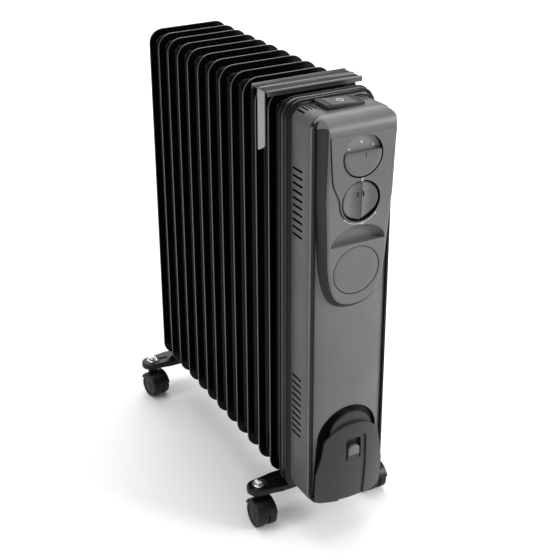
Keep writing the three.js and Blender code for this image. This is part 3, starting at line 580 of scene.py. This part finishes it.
def add_front_panel():
    piece = add_mesh("look_front_panel", *columns(
        even_columns(panel_half - 0.05 * MM),
        lambda x: panel_low.z + corner_drop(x, panel_half, PANEL_RADIUS),
        lambda x: panel_top - 3 * MM - corner_drop(x, panel_half, PANEL_RADIUS),
        lambda x, z: crown_y(x), lambda x, z: panel_back - 0.2 * MM, 40), "panel")
    # the arch's cut walls take the near-black painted shade
    carve(piece, [recess_tool()], "recess_painted_shade")
    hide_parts("front_panel")


# ---- console -------------------------------------------------------------------------------

LEAN = math.atan(0.05)
console_low, console_high = low("control_console"), high("control_console")
CAP_Z = 421.5 * MM
DIAL_Z = 577.6 * MM
KNOB_Z = 518.3 * MM
RING_Z = 547.4 * MM
DIAL_R = 26.4 * MM
KNOB_R = 25.8 * MM
CAP_R = 33 * MM
BROW = 20 * MM
BROW_INSET = 10 * MM
RISE = 1.5 * MM
DIAL_WELL = 28.4 * MM
KNOB_WELL = 27.8 * MM
CAP_WELL = 34 * MM
# The outline's points just before and after the console's top and its two corners.
SHIELD_TOP = (25, 52)
FACE_REFERENCE = console_low.y + (console_high.z - BROW - CAP_Z) * math.tan(LEAN)


def face_y(z):
    """The leaning plane that the two dials' fronts lie on."""
    return FACE_REFERENCE - (z - CAP_Z) * math.tan(LEAN)


def bezier2(a, b, c, steps):
    points = []
    for t in np.linspace(0, 1, steps + 1)[1:]:
        points.append(tuple((1 - t) ** 2 * a[i] + 2 * t * (1 - t) * b[i] + t * t * c[i] for i in (0, 1)))
    return points


def shield(inset):
    """Console outline at an inset from its seam, right half then left half. Its top isn't inset."""
    half, taper = 56 * MM - inset, 51.5 * MM - inset
    base = console_low.z + inset
    past = inset - BROW_INSET
    top = console_high.z if past < 0 else console_high.z - BROW - past
    corner = max(16 * MM - inset, 4 * MM)
    foot, lower, upper = (taper * 0.75, base + 17 * MM), (taper, base + 80 * MM), (half, base + 150 * MM)
    right = [(0.0, base)]
    right += bezier2((0, base), (taper * 0.55, base), foot, 8)
    right += bezier2(foot, (taper * 0.98, base + 40 * MM), lower, 8)
    right += bezier2(lower, (taper + 2 * MM, base + 120 * MM), upper, 6)
    straight = top - corner - base - 150 * MM
    right += [(half, base + 150 * MM + straight * t) for t in (0.25, 0.5, 0.75)]
    right += arc(half - corner, top - corner, corner, 0, 90, 8)
    right += [((half - corner) * t, top) for t in (0.8, 0.6, 0.4, 0.2, 0.0)]
    return right + [(-x, z) for x, z in reversed(right[1:-1])]


def brow_z(y, front):
    """Height that the rounded brow allows at y, where front is the face's y below the brow."""
    behind = y - front
    if behind >= BROW:
        return console_high.z
    return console_high.z - BROW + math.sqrt(max(BROW * BROW - (BROW - behind) ** 2, 0.0))


def console_ring(inset, forward):
    """forward runs from 0 at the seam to 1 on the lower face, and below 0 it means the hidden root."""
    ring = []
    brow_base = console_high.z - BROW
    for x, z in shield(inset):
        seam = min(crown_y(x) + 1 * MM, panel_back - 3 * MM)
        face = face_y(min(z, brow_base)) + RISE
        y = seam + (face - seam) * forward if forward >= 0 else shell_low.y - 0.3 * MM
        if z > brow_base:
            z = min(z, brow_z(y, face))
        ring.append((x, y, z))
    return ring


def add_console():
    profile = [
        (0, -1), (0, 0.0), (0.5, 0.05), (1.3, 0.08), (2.6, 0.2), (4.6, 0.36), (5.3, 0.44), (6.3, 0.62),
        (7.2, 0.78), (8.2, 0.90), (9.2, 0.97), (9.9, 0.995), (12.5, 1.0), (16, 1.0), (20.5, 1.0),
    ]
    rings = [console_ring(inset * MM, forward) for inset, forward in profile]
    count = len(rings[0])
    top_start, top_end = SHIELD_TOP
    # the console's side walls get the painted shade colour
    walls = [f for f in span_faces(count, range(3, 9)) if not top_start < f % count < top_end]
    accents = {"console_wall_painted_shade": walls}
    piece = add_mesh("look_control_console", *loft(rings), "panel", sharp=40, accents=accents)
    # the wells' cut walls take the painted shade colour
    carve(piece, [well_tool(DIAL_Z, DIAL_WELL, 8 * MM), well_tool(KNOB_Z, KNOB_WELL, 8 * MM),
                  well_tool(CAP_Z, CAP_WELL, 5.5 * MM)], "well_painted_shade")
    carve(piece, [scoop_tool()], "panel")
    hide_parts("control_console")
    add_tongue()


def on_face(part, z, forward=0.0):
    return moved(part, (0, face_y(z) - forward, z), (LEAN, 0, 0))


def well_tool(z, radius, depth):
    return on_face(turned_profile([(radius, depth), (radius, -20 * MM)], 72), z)


def scoop_tool():
    """Finger scoop: flat floor edge below, domed above, deepest along its lower edge."""
    half, rise, depth = 39.7 * MM, 25 * MM, 9.5 * MM
    z0 = 460 * MM
    rings = []
    for t in np.linspace(0, 1, 9):
        back = depth * math.cos(t * math.pi / 2)
        spread = 0.50 + 0.5 * math.sin(t * math.pi / 2) ** 0.8
        angles = np.linspace(0, math.pi, 33)
        outline = [(half * spread * math.cos(a), rise * spread * math.sin(a)) for a in angles]
        rings.append([(x, face_y(z0 + z) + RISE + back, z0 + z) for x, z in outline])
    rings.append([(x, y - 12 * MM, z) for x, y, z in rings[-1]])
    return loft(rings)


# Half width of the plate round the dials at heights above the knob's centre, in mm.
TONGUE = [
    (29.5, 0), (31.0, 7), (34.2, 14), (38.6, 23), (41, 31), (42.6, 43), (43.8, 57), (44.8, 69),
    (45.4, 80), (45.8, 89),
]
TONGUE_FOOT = 29.5 * MM


def tongue_outline(inset):
    """The raised plate round the two dials, spreading to the console's top corners."""
    right = [(half * MM - inset, KNOB_Z + up * MM) for half, up in TONGUE]
    z = right[-1][1]
    across = [(right[-1][0] * t, z) for t in (0.8, 0.6, 0.4, 0.2, 0.0, -0.2, -0.4, -0.6, -0.8)]
    left = [(-x, height) for x, height in reversed(right)]
    r = TONGUE_FOOT - inset
    angles = np.linspace(math.pi, 2 * math.pi, 26)[1:-1]
    return right + across + left + [(r * math.cos(a), KNOB_Z + r * math.sin(a)) for a in angles]


def tongue_ring(inset, forward):
    """The plate's rise dies away towards its top, where it runs into the brow."""
    ring = []
    for x, z in tongue_outline(inset):
        fade = min(1.0, max(0.0, (KNOB_Z + 96 * MM - z) / (34 * MM)))
        rise = forward * fade if forward > 0 else forward
        ring.append((x, face_y(z) + RISE - rise, z))
    return ring


def add_tongue():
    profile = [(-1.1, -1.5), (-1.1, 0.04), (0, 0.9), (0.15, 1.25), (0.5, 1.45), (1.0, 1.5)]
    rings = [tongue_ring(inset, forward) for inset, forward in in_mm(profile)]
    # the raised plate's side wall is painted black as shade
    wall_painted_shade = {"gap": span_faces(len(rings[0]), range(3))}
    piece = add_mesh("look_dial_tongue", *loft(rings), "panel", sharp=40, accents=wall_painted_shade)
    depth = 14 * MM
    # the wells' cut walls take the painted shade colour
    carve(piece, [well_tool(DIAL_Z, DIAL_WELL, depth), well_tool(KNOB_Z, KNOB_WELL, depth)], "well_painted_shade")


# ---- dials, knob and cap -------------------------------------------------------------------


def add_selector_dial():
    edge = 6 * MM

    def outline(inset):
        r = DIAL_R - inset
        level = edge - inset
        a = math.asin(level / r)
        bow = [(r * math.cos(t), r * math.sin(t)) for t in np.linspace(math.pi - a, 2 * math.pi + a, 54)]
        chord = [(x, level) for x in np.linspace(bow[-1][0], bow[0][0], 12)[1:-1]]
        return bow + chord

    stages = ((0, 6.2), (0, 1.0), (0.3, 0.35), (1.0, 0.0), (6, 0.0))
    rings = [[(x, y * MM, z) for x, z in outline(inset * MM)] for inset, y in stages]
    disc = loft(rings)
    shaft = turned_profile([(3 * MM, 6 * MM), (3 * MM, 30 * MM)], 20)
    parts = [disc, shaft]
    piece = add_mesh("look_heat_selector_dial", *on_face(merge(*parts), DIAL_Z), "knob", "heat_selector")
    pointer = box_part(3.1 * MM, 4.0 * MM, -0.12 * MM, 0.6 * MM, -1.5 * MM, 5.2 * MM)
    mark = add_mesh("look_dial_pointer", *on_face(pointer, DIAL_Z), "gap", "heat_selector")
    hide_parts("heat_selector_dial")


def knob_depth(x, z):
    """Depth of the thermostat knob's face: a ridge across its middle between two dished halves."""
    r = math.hypot(x, z) / KNOB_R
    across = abs(x) / KNOB_R
    dish = 4.6 * MM * math.sin(min(1.0, across * 1.05) * math.pi) ** 0.8
    rim = 2.4 * MM * max(0.0, (r - 0.9) / 0.1) ** 2
    return dish * (1 - 0.4 * r ** 4) + rim


def add_knob():
    sides, levels = 72, 26
    rings = [[(KNOB_R * math.cos(a), 7.5 * MM, KNOB_R * math.sin(a)) for a in around(sides)]]
    for r in np.linspace(1, 0.02, levels):
        ring = []
        for a in around(sides):
            x, z = KNOB_R * r * math.cos(a), KNOB_R * r * math.sin(a)
            ring.append((x, knob_depth(x, z), z))
        rings.append(ring)
    shaft = turned_profile([(3 * MM, 7 * MM), (3 * MM, 30 * MM)], 20)
    body = on_face(merge(loft(rings), shaft), KNOB_Z)
    piece = add_mesh("look_thermostat_knob", *body, "knob", "thermostat_control", sharp=60)
    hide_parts("thermostat_knob")
    line = tube([(0.2 * MM, 0.1 * MM, z * MM) for z in np.linspace(-25, 25, 12)], 0.35 * MM, 6)
    thick = 0.4 * MM
    ticks = [
        box_part(x - thick, x + thick, 1.2 * MM, 3 * MM, 5 * MM, 12 * MM) for x in (-3.6 * MM, 4.4 * MM)
    ]
    marks = on_face(merge(line, *ticks), KNOB_Z)
    mark = add_mesh("look_knob_marks", *marks, "gap", "thermostat_control")


def add_cap():
    profile = [(CAP_R, 4.0 * MM), (CAP_R, 0.5 * MM), (CAP_R - 0.3 * MM, 0.12 * MM), (CAP_R - 0.9 * MM, 0.0),
               (CAP_R * 0.6, -0.15 * MM), (0.3 * MM, -0.2 * MM)]
    piece = add_mesh("look_blanking_cap", *on_face(turned_profile(profile, 80), CAP_Z, -RISE), "panel")
    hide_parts("timer_blanking_cap")


def arc_tube(radius, start, end, thick, steps=24):
    angles = np.radians(np.linspace(start, end, steps))
    return tube([(radius * math.cos(a), 0, radius * math.sin(a)) for a in angles], thick, 6)


def add_print():
    """Generic white marks: a scale below the knob, a ring between the dials, three in the window."""
    radius, start, end = 31 * MM, 226, 318
    scale = [arc_tube(radius, start, end, 0.35 * MM)]
    for angle in np.radians((start, end)):
        end_dot = turned_profile([(1.0 * MM, 0.2 * MM), (1.0 * MM, -0.25 * MM)], 16)
        scale.append(moved(end_dot, (radius * math.cos(angle), 0, radius * math.sin(angle))))
    scale.append(moved(arc_tube(1.6 * MM, 0, 350, 0.45 * MM, 16), (4.5 * MM, 0, -30.8 * MM)))
    piece = add_mesh("look_scale_arc", *on_face(merge(*scale), KNOB_Z, -RISE), "print")
    circle = arc_tube(1.7 * MM, 0, 350, 0.5 * MM, 18)
    ring = add_mesh("look_ring_mark", *on_face(circle, RING_Z), "print")
    marks = []
    for x, z in in_mm([(-17, 9.5), (0, 17), (17, 10.5)]):
        window_dot = turned_profile([(1.3 * MM, 0.1 * MM), (1.3 * MM, -0.2 * MM)], 16)
        marks.append(moved(window_dot, (x, 6.6 * MM, z)))
    window = add_mesh("look_window_marks", *on_face(merge(*marks), DIAL_Z), "print")


# ---- power rocker --------------------------------------------------------------------------


def add_rocker():
    """The rocker on top of the shell, with three grip ribs at each end and a generic mark."""
    a, b = low("power_rocker"), high("power_rocker")
    tilt = math.radians(2.5)
    half_x, half_y = 27.4 * MM, (b.y - a.y) / 2
    centre = Vector((0, (a.y + b.y) / 2, shell_top))
    rings = []
    for inset, z in in_mm([(0.8, 0.4), (0, 0.8), (0, 4.4), (0.3, 5.0), (1.0, 5.3), (4, 5.3)]):
        outline = rounded(half_x, -half_y, half_y, 1.6 * MM, 1.6 * MM, inset, 4)
        rings.append([(x, y, z) for x, y in outline])
    parts = [loft(rings)]
    rib_half, rib_end = 0.65 * MM, half_y - 2 * MM
    for side in (-1, 1):
        for step in range(3):
            x = side * (half_x - 3 * MM - step * 2.6 * MM)
            parts.append(box_part(x - rib_half, x + rib_half, -rib_end, rib_end, 4.8 * MM, 5.9 * MM))
    parts.append(box_part(-22 * MM, 22 * MM, -10 * MM, 10 * MM, -8 * MM, 1 * MM))
    whole = moved(merge(*parts), centre, (0, tilt, 0))
    piece = add_mesh("look_power_rocker", *whole, "cover", "power_switch")
    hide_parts("power_rocker")
    circle = moved(arc_tube(4.6 * MM, 110, 430, 0.5 * MM), (0, 0, 0), (math.radians(-90), 0, 0))
    stroke = box_part(-0.4 * MM, 0.4 * MM, 1.2 * MM, 5.2 * MM, -0.3 * MM, 0.3 * MM)
    symbol = moved(merge(circle, stroke), (0, 0, 5.4 * MM))
    mark = add_mesh("look_rocker_mark", *moved(symbol, centre, (0, tilt, 0)), "print", "power_switch")


# ---- cord store ----------------------------------------------------------------------------

cover_low, cover_high = low("cord_cover"), high("cord_cover")
COVER_SHEET = 3.2 * MM
CHANNEL_HALF = 19.5 * MM
CHANNEL_TOP = 174.8 * MM
CHANNEL_DEPTH = 2.5 * MM
SHOULDER = 42 * MM
SHOULDER_DROP = 22 * MM


def cover_y(x, z):
    """Front of the bowed cover: fullest in the middle of its height, sides swept back."""
    across = abs(x) / (53 * MM)
    rise = (z - cover_low.z) / (cover_high.z - cover_low.z)
    return (cover_low.y + 0.2 * MM + 12.5 * MM * across ** 2.1
            + 5.5 * MM * max(0.0, 0.55 - rise) ** 2 / 0.3 + 4.0 * MM * max(0.0, rise - 0.6) ** 2 / 0.16)


def cover_top(x):
    """Upper edge: nearly flat on top, then falling steeply to its shoulders and splayed sides."""
    reach = abs(x)
    if reach <= SHOULDER:
        return cover_high.z - SHOULDER_DROP * (reach / SHOULDER) ** 2.6
    slope = (reach - SHOULDER) / (8.5 * MM)
    return max(cover_low.z + 8 * MM, cover_high.z - SHOULDER_DROP - 46 * MM * slope ** 0.8)


def add_cover():
    half = 52 * MM
    xs = even_columns(half, 56)
    piece = add_mesh("look_cord_cover", *columns(
        xs, lambda x: cover_low.z + corner_drop(x, half, 7 * MM), cover_top, cover_y,
        lambda x, z: cover_y(x, z) + COVER_SHEET, 44), "cover", sharp=35)
    carve(piece, [channel_tool()], "cover")
    # the hook hole's cut walls take the black painted shade
    carve(piece, hook_hole(), "gap")
    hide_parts("cord_cover")
    add_bevel(piece, 0.5 * MM)
    apply_modifiers(piece, 40)


def channel_tool():
    """Cuts the channel down the cover's middle, to the same depth all over its bowed front."""
    def top(x):
        return CHANNEL_TOP - corner_drop(x, CHANNEL_HALF, 3 * MM)

    return columns(np.linspace(-CHANNEL_HALF, CHANNEL_HALF, 25), lambda x: cover_low.z - 4 * MM, top,
                   lambda x, z: cover_y(x, z) - 9 * MM, lambda x, z: cover_y(x, z) + CHANNEL_DEPTH, 24)


def hook_hole():
    half, z0, z1, corner = 11.5 * MM, 146 * MM, 171 * MM, 4 * MM
    y0, y1 = cover_low.y - 9 * MM, cover_low.y + 20 * MM
    outline = [(half, z0), (half, z1 - corner)] + arc(half - corner, z1 - corner, corner, 0, 90, 4)[1:]
    outline += arc(corner - half, z1 - corner, corner, 90, 180, 4) + [(-half, z0)]
    slits = [
        box_part(x - 1.1 * MM, x + 1.1 * MM, y0, y1, z0 - 8 * MM, z0 + 4 * MM)
        for x in (-0.9 * half, 0.9 * half)
    ]
    return [loft([upright_ring(outline, y) for y in (y0, y1)])] + slits


def add_drum():
    a, b = low("cord_drum"), high("cord_drum")
    z = (a.z + b.z) / 2
    radius = (b.x - a.x) / 2
    front = a.y
    profile = [
        (24 * MM, b.y), (24 * MM, front + 5.5 * MM), (26 * MM, front + 4.2 * MM),
        (radius - 0.8 * MM, front + 4.0 * MM), (radius, front + 3.2 * MM), (radius, front + 0.9 * MM),
        (radius - 0.3 * MM, front + 0.3 * MM), (radius - 1.0 * MM, front), (4 * MM, front - 0.01 * MM),
    ]
    piece = add_mesh("look_cord_drum", *moved(turned_profile(profile, 72), (0, 0, z)), "cover")
    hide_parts("cord_drum")


def add_hook():
    a, b = low("plug_hook"), high("plug_hook")
    half, bend = 8.5 * MM, 2.5 * MM
    outline = [(half, 0.0)] + arc(bend, 8 * MM, 6 * MM, 0, 90, 6) + arc(-bend, 8 * MM, 6 * MM, 90, 180, 6)
    outline += [(-half, 0.0)]
    rings = []
    for inset, y in in_mm([(0, 4.6), (0, 0.8), (0.5, 0.2), (1.2, 0.0)]):
        shrink = 1 - inset / half
        rings.append([(x * shrink, a.y + y, a.z + 0.2 * MM + z * shrink) for x, z in outline])
    piece = add_mesh("look_plug_hook", *loft(rings), "panel")
    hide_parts("plug_hook")


# ---- handle --------------------------------------------------------------------------------


def add_handle():
    a, b = low("handle_cap"), high("handle_cap")
    y0 = (a.y + b.y) / 2
    half = (b.y - a.y) / 2
    top = b.z
    section = [(-half, a.z), (-half, top - 1.0 * MM)]
    section += [(-half + 0.4 * MM, top - 0.3 * MM), (-half + 1.2 * MM, top)]
    section += [(-19.0 * MM, top), (-18.4 * MM, top - 0.6 * MM), (-18.0 * MM, top - 1.6 * MM)]
    section += [(-3.0 * MM, top - 1.6 * MM), (-2.6 * MM, top - 0.6 * MM), (-2.0 * MM, top)]
    right = [(-y, z) for y, z in reversed(section)]
    inner = half - 1.8 * MM
    under = [(inner, a.z), (inner, top - 2.6 * MM), (-inner, top - 2.6 * MM), (-inner, a.z)]
    outline = section + right + under
    rings = []
    for x in (a.x, a.x + 0.5 * MM, -30 * MM, 0, 30 * MM, b.x - 0.5 * MM, b.x):
        at_end = abs(x) > b.x - 0.1 * MM
        narrow, drop = (0.99, 0.15 * MM) if at_end else (1, 0)
        rings.append([(x, y0 + y * narrow, z - drop) for y, z in outline])
    piece = add_mesh("look_handle_cap", *loft(rings), "handle", sharp=25)
    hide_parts("handle_cap")
    add_groove_shade(a.x, b.x, y0, top)
    add_strap(y0)


def add_groove_shade(x0, x1, y0, top):
    # thin black strips lying in the cap's two grooves: painted shade
    strips = []
    for y in (y0 - 10.5 * MM, y0 + 10.5 * MM):
        strips.append(box_part(x0 + 0.3 * MM, x1 - 0.3 * MM, y - 7.4 * MM, y + 7.4 * MM,
                               top - 1.58 * MM, top - 1.35 * MM))
    piece = add_mesh("look_handle_groove_shade", *merge(*strips), "gap")


def add_strap(y0):
    a, b = low("handle_strap"), high("handle_strap")
    half = (b.y - a.y) / 2
    parts = [box_part(a.x, b.x, y0 - half, y0 + half, b.z - 2 * MM, b.z)]
    for side in (-1, 1):
        outer, inner = side * b.x, side * (b.x - 1.8 * MM)
        outline = [
            (-half, b.z - 1 * MM), (-half, a.z + 12 * MM), (-half + 1.5 * MM, a.z + 9 * MM),
            (half - 2 * MM, a.z + 0.5 * MM), (half, a.z + 1.5 * MM), (half, b.z - 1 * MM),
        ]
        rings = [[(x, y0 + y, z) for y, z in outline] for x in (outer, inner)]
        parts.append(loft(rings))
    piece = add_mesh("look_handle_strap", *merge(*parts), "strap", bevel=0.35 * MM)
    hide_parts("handle_strap")


# ---- feet ----------------------------------------------------------------------------------


def bracket_outline(half_length, half_width, end_radius, inset):
    end = half_length - end_radius
    r, w = end_radius - inset, half_width - inset
    neck, shoulder, step = 74 * MM, 66 * MM, w - 1.6 * MM
    right = arc(end, 0, r, -90, 90, 10) + [(neck, step), (shoulder, w)]
    left = arc(-end, 0, r, 90, 270, 10) + [(-neck, -step), (-shoulder, -w)]
    return right + [(-shoulder, w), (-neck, step)] + left + [(shoulder, -w), (neck, -step)]


def bracket_ribs(side, y0, top):
    """A bead along the bracket's neck and a curved one round its caster's seat."""
    height = top - 0.4 * MM
    bead = tube([(side * 66 * MM, y0, height), (side * 79 * MM, y0, height)], 2.2 * MM, 10)
    r, middle = 12.5 * MM, 180 if side > 0 else 0
    angles = np.radians(np.linspace(middle - 60, middle + 60, 14))
    curve = [(side * 93 * MM + r * math.cos(t), y0 + r * math.sin(t), top - 0.3 * MM) for t in angles]
    return [bead, tube(curve, 1.1 * MM, 8)]


def add_brackets():
    for name in ("front", "rear"):
        node = f"foot_bracket_{name}"
        a, b = low(node), high(node)
        y0, top, base = (a.y + b.y) / 2, b.z, a.z
        half_length, half_width = b.x, (b.y - a.y) / 2
        rings = []
        stages = [
            (2.0, base + 0.2 * MM), (0.2, base), (0, base + 0.6 * MM), (0, top - 2.2 * MM),
            (0.6, top - 0.8 * MM), (1.8, top - 0.1 * MM), (3, top), (7, top),
        ]
        for inset, z in stages:
            outline = bracket_outline(half_length, half_width, 15 * MM, inset * MM)
            rings.append([(x, y0 + y, z) for x, y in outline])
        parts = [loft(rings)] + bracket_ribs(-1, y0, top) + bracket_ribs(1, y0, top)
        piece = add_mesh(f"look_{node}", *merge(*parts), "sheet")
        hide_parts(node)


def upright_profile(profile, sides=32):
    """Profile of (radius, height) turned about the z axis."""
    return loft([[(r * math.cos(a), r * math.sin(a), z) for a in around(sides)] for r, z in profile])


def hexagon(radius, z0, z1, chamfer=0.7 * MM):
    inner, rise = radius - chamfer, chamfer * 0.6
    return upright_profile([(inner, z0), (radius, z0 + rise), (radius, z1 - rise), (inner, z1)], 6)


def add_stem(corner, x, y):
    """A caster's stem with its washer, nut, collar and the thread's end."""
    a, b = low(f"caster_stem_{corner}"), high(f"caster_stem_{corner}")
    seat, top = high("foot_bracket_front").z + 0.3 * MM, b.z
    washer = upright_profile([
        (8.4 * MM, seat), (9.0 * MM, seat + 0.4 * MM),
        (9.0 * MM, seat + 1.0 * MM), (8.4 * MM, seat + 1.4 * MM),
    ])
    nut = hexagon(7.6 * MM, seat + 1.3 * MM, top - 3.2 * MM)
    ring = upright_profile([
        (5.6 * MM, top - 3.3 * MM), (5.2 * MM, top - 2.2 * MM), (4.0 * MM, top - 1.6 * MM),
    ])
    thread = [
        (3.9 * MM if step % 2 else 3.5 * MM, top - 1.8 * MM + step * 0.2 * MM) for step in range(9)
    ]
    stem = upright_profile([(4.0 * MM, a.z), (4.0 * MM, top - 2 * MM)] + thread)
    piece = add_mesh(f"look_stem_{corner}", *moved(merge(washer, nut, ring, stem), (x, y, 0)), "zinc")
    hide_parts(f"caster_stem_{corner}")


WHEEL_R = 20 * MM
TRAIL = 9 * MM
# A wheel's profile in mm, as (radius, along x) from its inner face to its outer face.
WHEEL_PROFILE = [
    (3.0, -6.0), (16.5, -6.0), (18.6, -5.7), (19.6, -4.8), (20.0, -3.4), (20.0, 2.8), (19.6, 4.4),
    (18.4, 5.5), (17.0, 5.9), (16.0, 5.7), (15.2, 4.8), (13.0, 4.4), (8.0, 4.8), (6.2, 5.6), (5.4, 6.0),
    (3.0, 6.0),
]
HOOD_R = 23 * MM
HOOD_INNER_R = 21.2 * MM
HOOD_STAGES = [(-15.0, 1.0), (-14.6, 0.2), (-13.4, 0), (13.4, 0), (14.6, 0.2), (15.0, 1.0)]


def across_profile(profile, sides=56):
    """Profile of (radius, along x) turned about the x axis."""
    return loft([[(x, r * math.cos(a), r * math.sin(a)) for a in around(sides)] for r, x in profile])


def wheel_part(side):
    """One wheel about its own centre: a rounded tread, a dished outer face and a hub."""
    return across_profile([(r, side * x) for r, x in in_mm(WHEEL_PROFILE)])


def hood_arc(x, radius, start, end):
    angles = np.radians(np.linspace(start, end, 25))
    return [(x, -TRAIL + radius * math.cos(a), WHEEL_R + radius * math.sin(a)) for a in angles]


def hood_part():
    """Hood over the wheels, the web between them and the swivel neck, about the swivel axis."""
    z = WHEEL_R
    shell = loft([
        hood_arc(x, HOOD_R - shrink, 18, 162) + hood_arc(x, HOOD_INNER_R, 162, 18)
        for x, shrink in in_mm(HOOD_STAGES)
    ])
    disc = across_profile(in_mm([(17.5, -2.7), (18, -2.2), (18, 2.2), (17.5, 2.7)]), 40)
    rib = box_part(-2.6 * MM, 2.6 * MM, -TRAIL - 8 * MM, 2 * MM, z + 4 * MM, z + 22 * MM)
    axle = across_profile(in_mm([(2.2, -14.2), (2.6, -13.8), (2.6, 13.8), (2.2, 14.2)]), 20)
    centre = (0, -TRAIL, z)
    top = high("caster_hood_front_left").z
    neck = upright_profile([
        (7.2 * MM, z + 19 * MM), (8 * MM, z + 22 * MM), (7.6 * MM, top - 2.4 * MM),
        (8.0 * MM, top - 2.0 * MM), (8.0 * MM, top - 0.5 * MM), (7.5 * MM, top), (4.4 * MM, top),
    ], 36)
    return merge(shell, moved(disc, centre), rib, moved(axle, centre), neck)


def add_casters():
    joints = {joint["name"]: joint for joint in frame["joints"]}
    for corner in ("rear_left", "rear_right", "front_left", "front_right"):
        x, y, _ = joints[f"caster_{corner}_swivel"]["pos_m"]
        axis = joints[f"wheel_{corner}_left_spin"]["axis"]
        turn = math.atan2(axis[1], axis[0])
        add_stem(corner, x, y)
        hood = moved(hood_part(), (x, y, 0), (0, 0, turn))
        piece = add_mesh(f"look_hood_{corner}", *hood, "caster", f"caster_{corner}")
        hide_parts(f"caster_hood_{corner}")
        for label, side in (("left", -1), ("right", 1)):
            name = f"wheel_{corner}_{label}"
            part = moved(wheel_part(side), joints[f"{name}_spin"]["pos_m"], (0, 0, turn))
            wheel = add_mesh(f"look_{name}", *part, "tyre", name)
            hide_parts(f"caster_wheel_{corner}_{label}")


def add_bolts():
    for name in ("front", "rear"):
        node = f"u_bolt_{name}"
        a, b = low(node), high(node)
        y = (a.y + b.y) / 2
        reach = b.x - 2.5 * MM
        centre = b.z - 2.5 * MM - reach
        path = [(-reach, y, a.z + 3 * MM), (-reach, y, centre - 8 * MM)]
        path += [(reach * math.cos(t), y, centre + reach * math.sin(t)) for t in np.linspace(math.pi, 0, 25)]
        path += [(reach, y, centre - 8 * MM), (reach, y, a.z + 3 * MM)]
        nut_z = high(f"foot_bracket_{name}").z - 6.3 * MM
        nut = hexagon(4.2 * MM, nut_z, nut_z + 4 * MM, 0.4 * MM)
        nuts = [moved(nut, (x, y, 0)) for x in (-reach, reach)]
        piece = add_mesh(f"look_{node}", *merge(tube(path, 2.4 * MM, 14), *nuts), "zinc")
        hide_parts(node)


# ---- CAD pieces that stay ------------------------------------------------------------------

KEPT = {
    "heating_element": "sheath", "element_flange": "zinc", "element_gasket": "rubber",
    "oil_filler_plug": "zinc", "rocker_frame": "black", "thermostat": "ceramic",
    "selector_switch": "black", "thermal_cutout": "ceramic", "tilt_switch": "black",
    "terminal_block": "ceramic", "wiring_loom": "rubber", "cord_gland": "rubber",
    "dial_scale_plate": "scale",
}


def dress_kept_nodes():
    for node, look in KEPT.items():
        slots = frame["nodes"][node].data.materials
        slots.clear()
        slots.append(looks[look])


def build():
    add_fins()
    add_layers()
    add_shell()
    add_parting_groove_shade()
    add_front_panel()
    add_console()
    add_selector_dial()
    add_knob()
    add_cap()
    add_print()
    add_rocker()
    add_cover()
    add_drum()
    add_hook()
    add_handle()
    add_brackets()
    add_bolts()
    add_casters()
    dress_kept_nodes()


# ---- floor, light and camera ---------------------------------------------------------------


def add_floor():
    size = 9.0
    steps = 12
    grid = np.linspace(-size, size, steps + 1)
    vertices = [(x, y, 0.0) for y in grid for x in grid]
    faces = []
    for row in range(steps):
        for column in range(steps):
            a = row * (steps + 1) + column
            faces.append((a, a + 1, a + steps + 2, a + steps + 1))
    mesh = bpy.data.meshes.new("floor")
    mesh.from_pydata(vertices, [], faces)
    floor = bpy.data.objects.new("floor", mesh)
    bpy.context.scene.collection.objects.link(floor)
    material = surface("floor_white", (0.93, 0.93, 0.93), 0.6, 40, 0.02, specular=0.15, vary=0.004)
    mesh.materials.append(material)


def add_light(name, location, aim, size, power, size_y=None):
    data = bpy.data.lights.new(name, "AREA")
    data.shape = "RECTANGLE"
    data.size = size
    data.size_y = size_y or size
    data.energy = power
    lamp = bpy.data.objects.new(name, data)
    lamp.location = location
    lamp.rotation_euler = (Vector(aim) - Vector(location)).to_track_quat("-Z", "Y").to_euler()
    bpy.context.scene.collection.objects.link(lamp)


def add_world():
    world = bpy.data.worlds.new("studio")
    world.use_nodes = True
    back = world.node_tree.nodes["Background"]
    back.inputs["Color"].default_value = (1, 1, 1, 1)
    back.inputs["Strength"].default_value = 0.50
    bpy.context.scene.world = world


def add_camera():
    """The photograph's viewing angle: from the front left and above."""
    data = bpy.data.cameras.new("camera")
    data.lens = 71.14
    data.sensor_width = 36.0
    data.shift_x = 0.143
    data.shift_y = -0.107
    data.clip_start = 0.05
    data.clip_end = 60.0
    yaw, pitch, roll = 0.4269, 0.4084, -0.033
    ahead = Vector((math.sin(yaw) * math.cos(pitch), math.cos(yaw) * math.cos(pitch), -math.sin(pitch)))
    right = Vector((math.cos(yaw), -math.sin(yaw), 0))
    above = right.cross(ahead)
    right, above = (
        math.cos(roll) * right + math.sin(roll) * above,
        math.cos(roll) * above - math.sin(roll) * right,
    )
    camera = bpy.data.objects.new("camera", data)
    matrix = Matrix((right, above, -ahead)).transposed().to_4x4()
    matrix.translation = Vector((-0.6988, -1.3113, 1.0418))
    camera.matrix_world = matrix
    bpy.context.scene.collection.objects.link(camera)
    bpy.context.scene.camera = camera


def add_stage():
    add_floor()
    add_world()
    add_light("key", (2.3, -2.2, 1.9), (0, -0.2, 0.35), 1.2, 100)
    add_light("top", (0.2, 0.3, 3.2), (0, 0, 0.3), 2.6, 52)
    add_light("left", (-2.8, 0.2, 1.6), (0, -0.1, 0.35), 0.9, 24, 1.8)
    add_light("backdrop", (1.2, 3.4, 2.4), (1.2, 3.4, 0), 3.5, 100)
    add_camera()


build()
add_stage()
bpy.context.scene.view_settings.view_transform = "Standard"
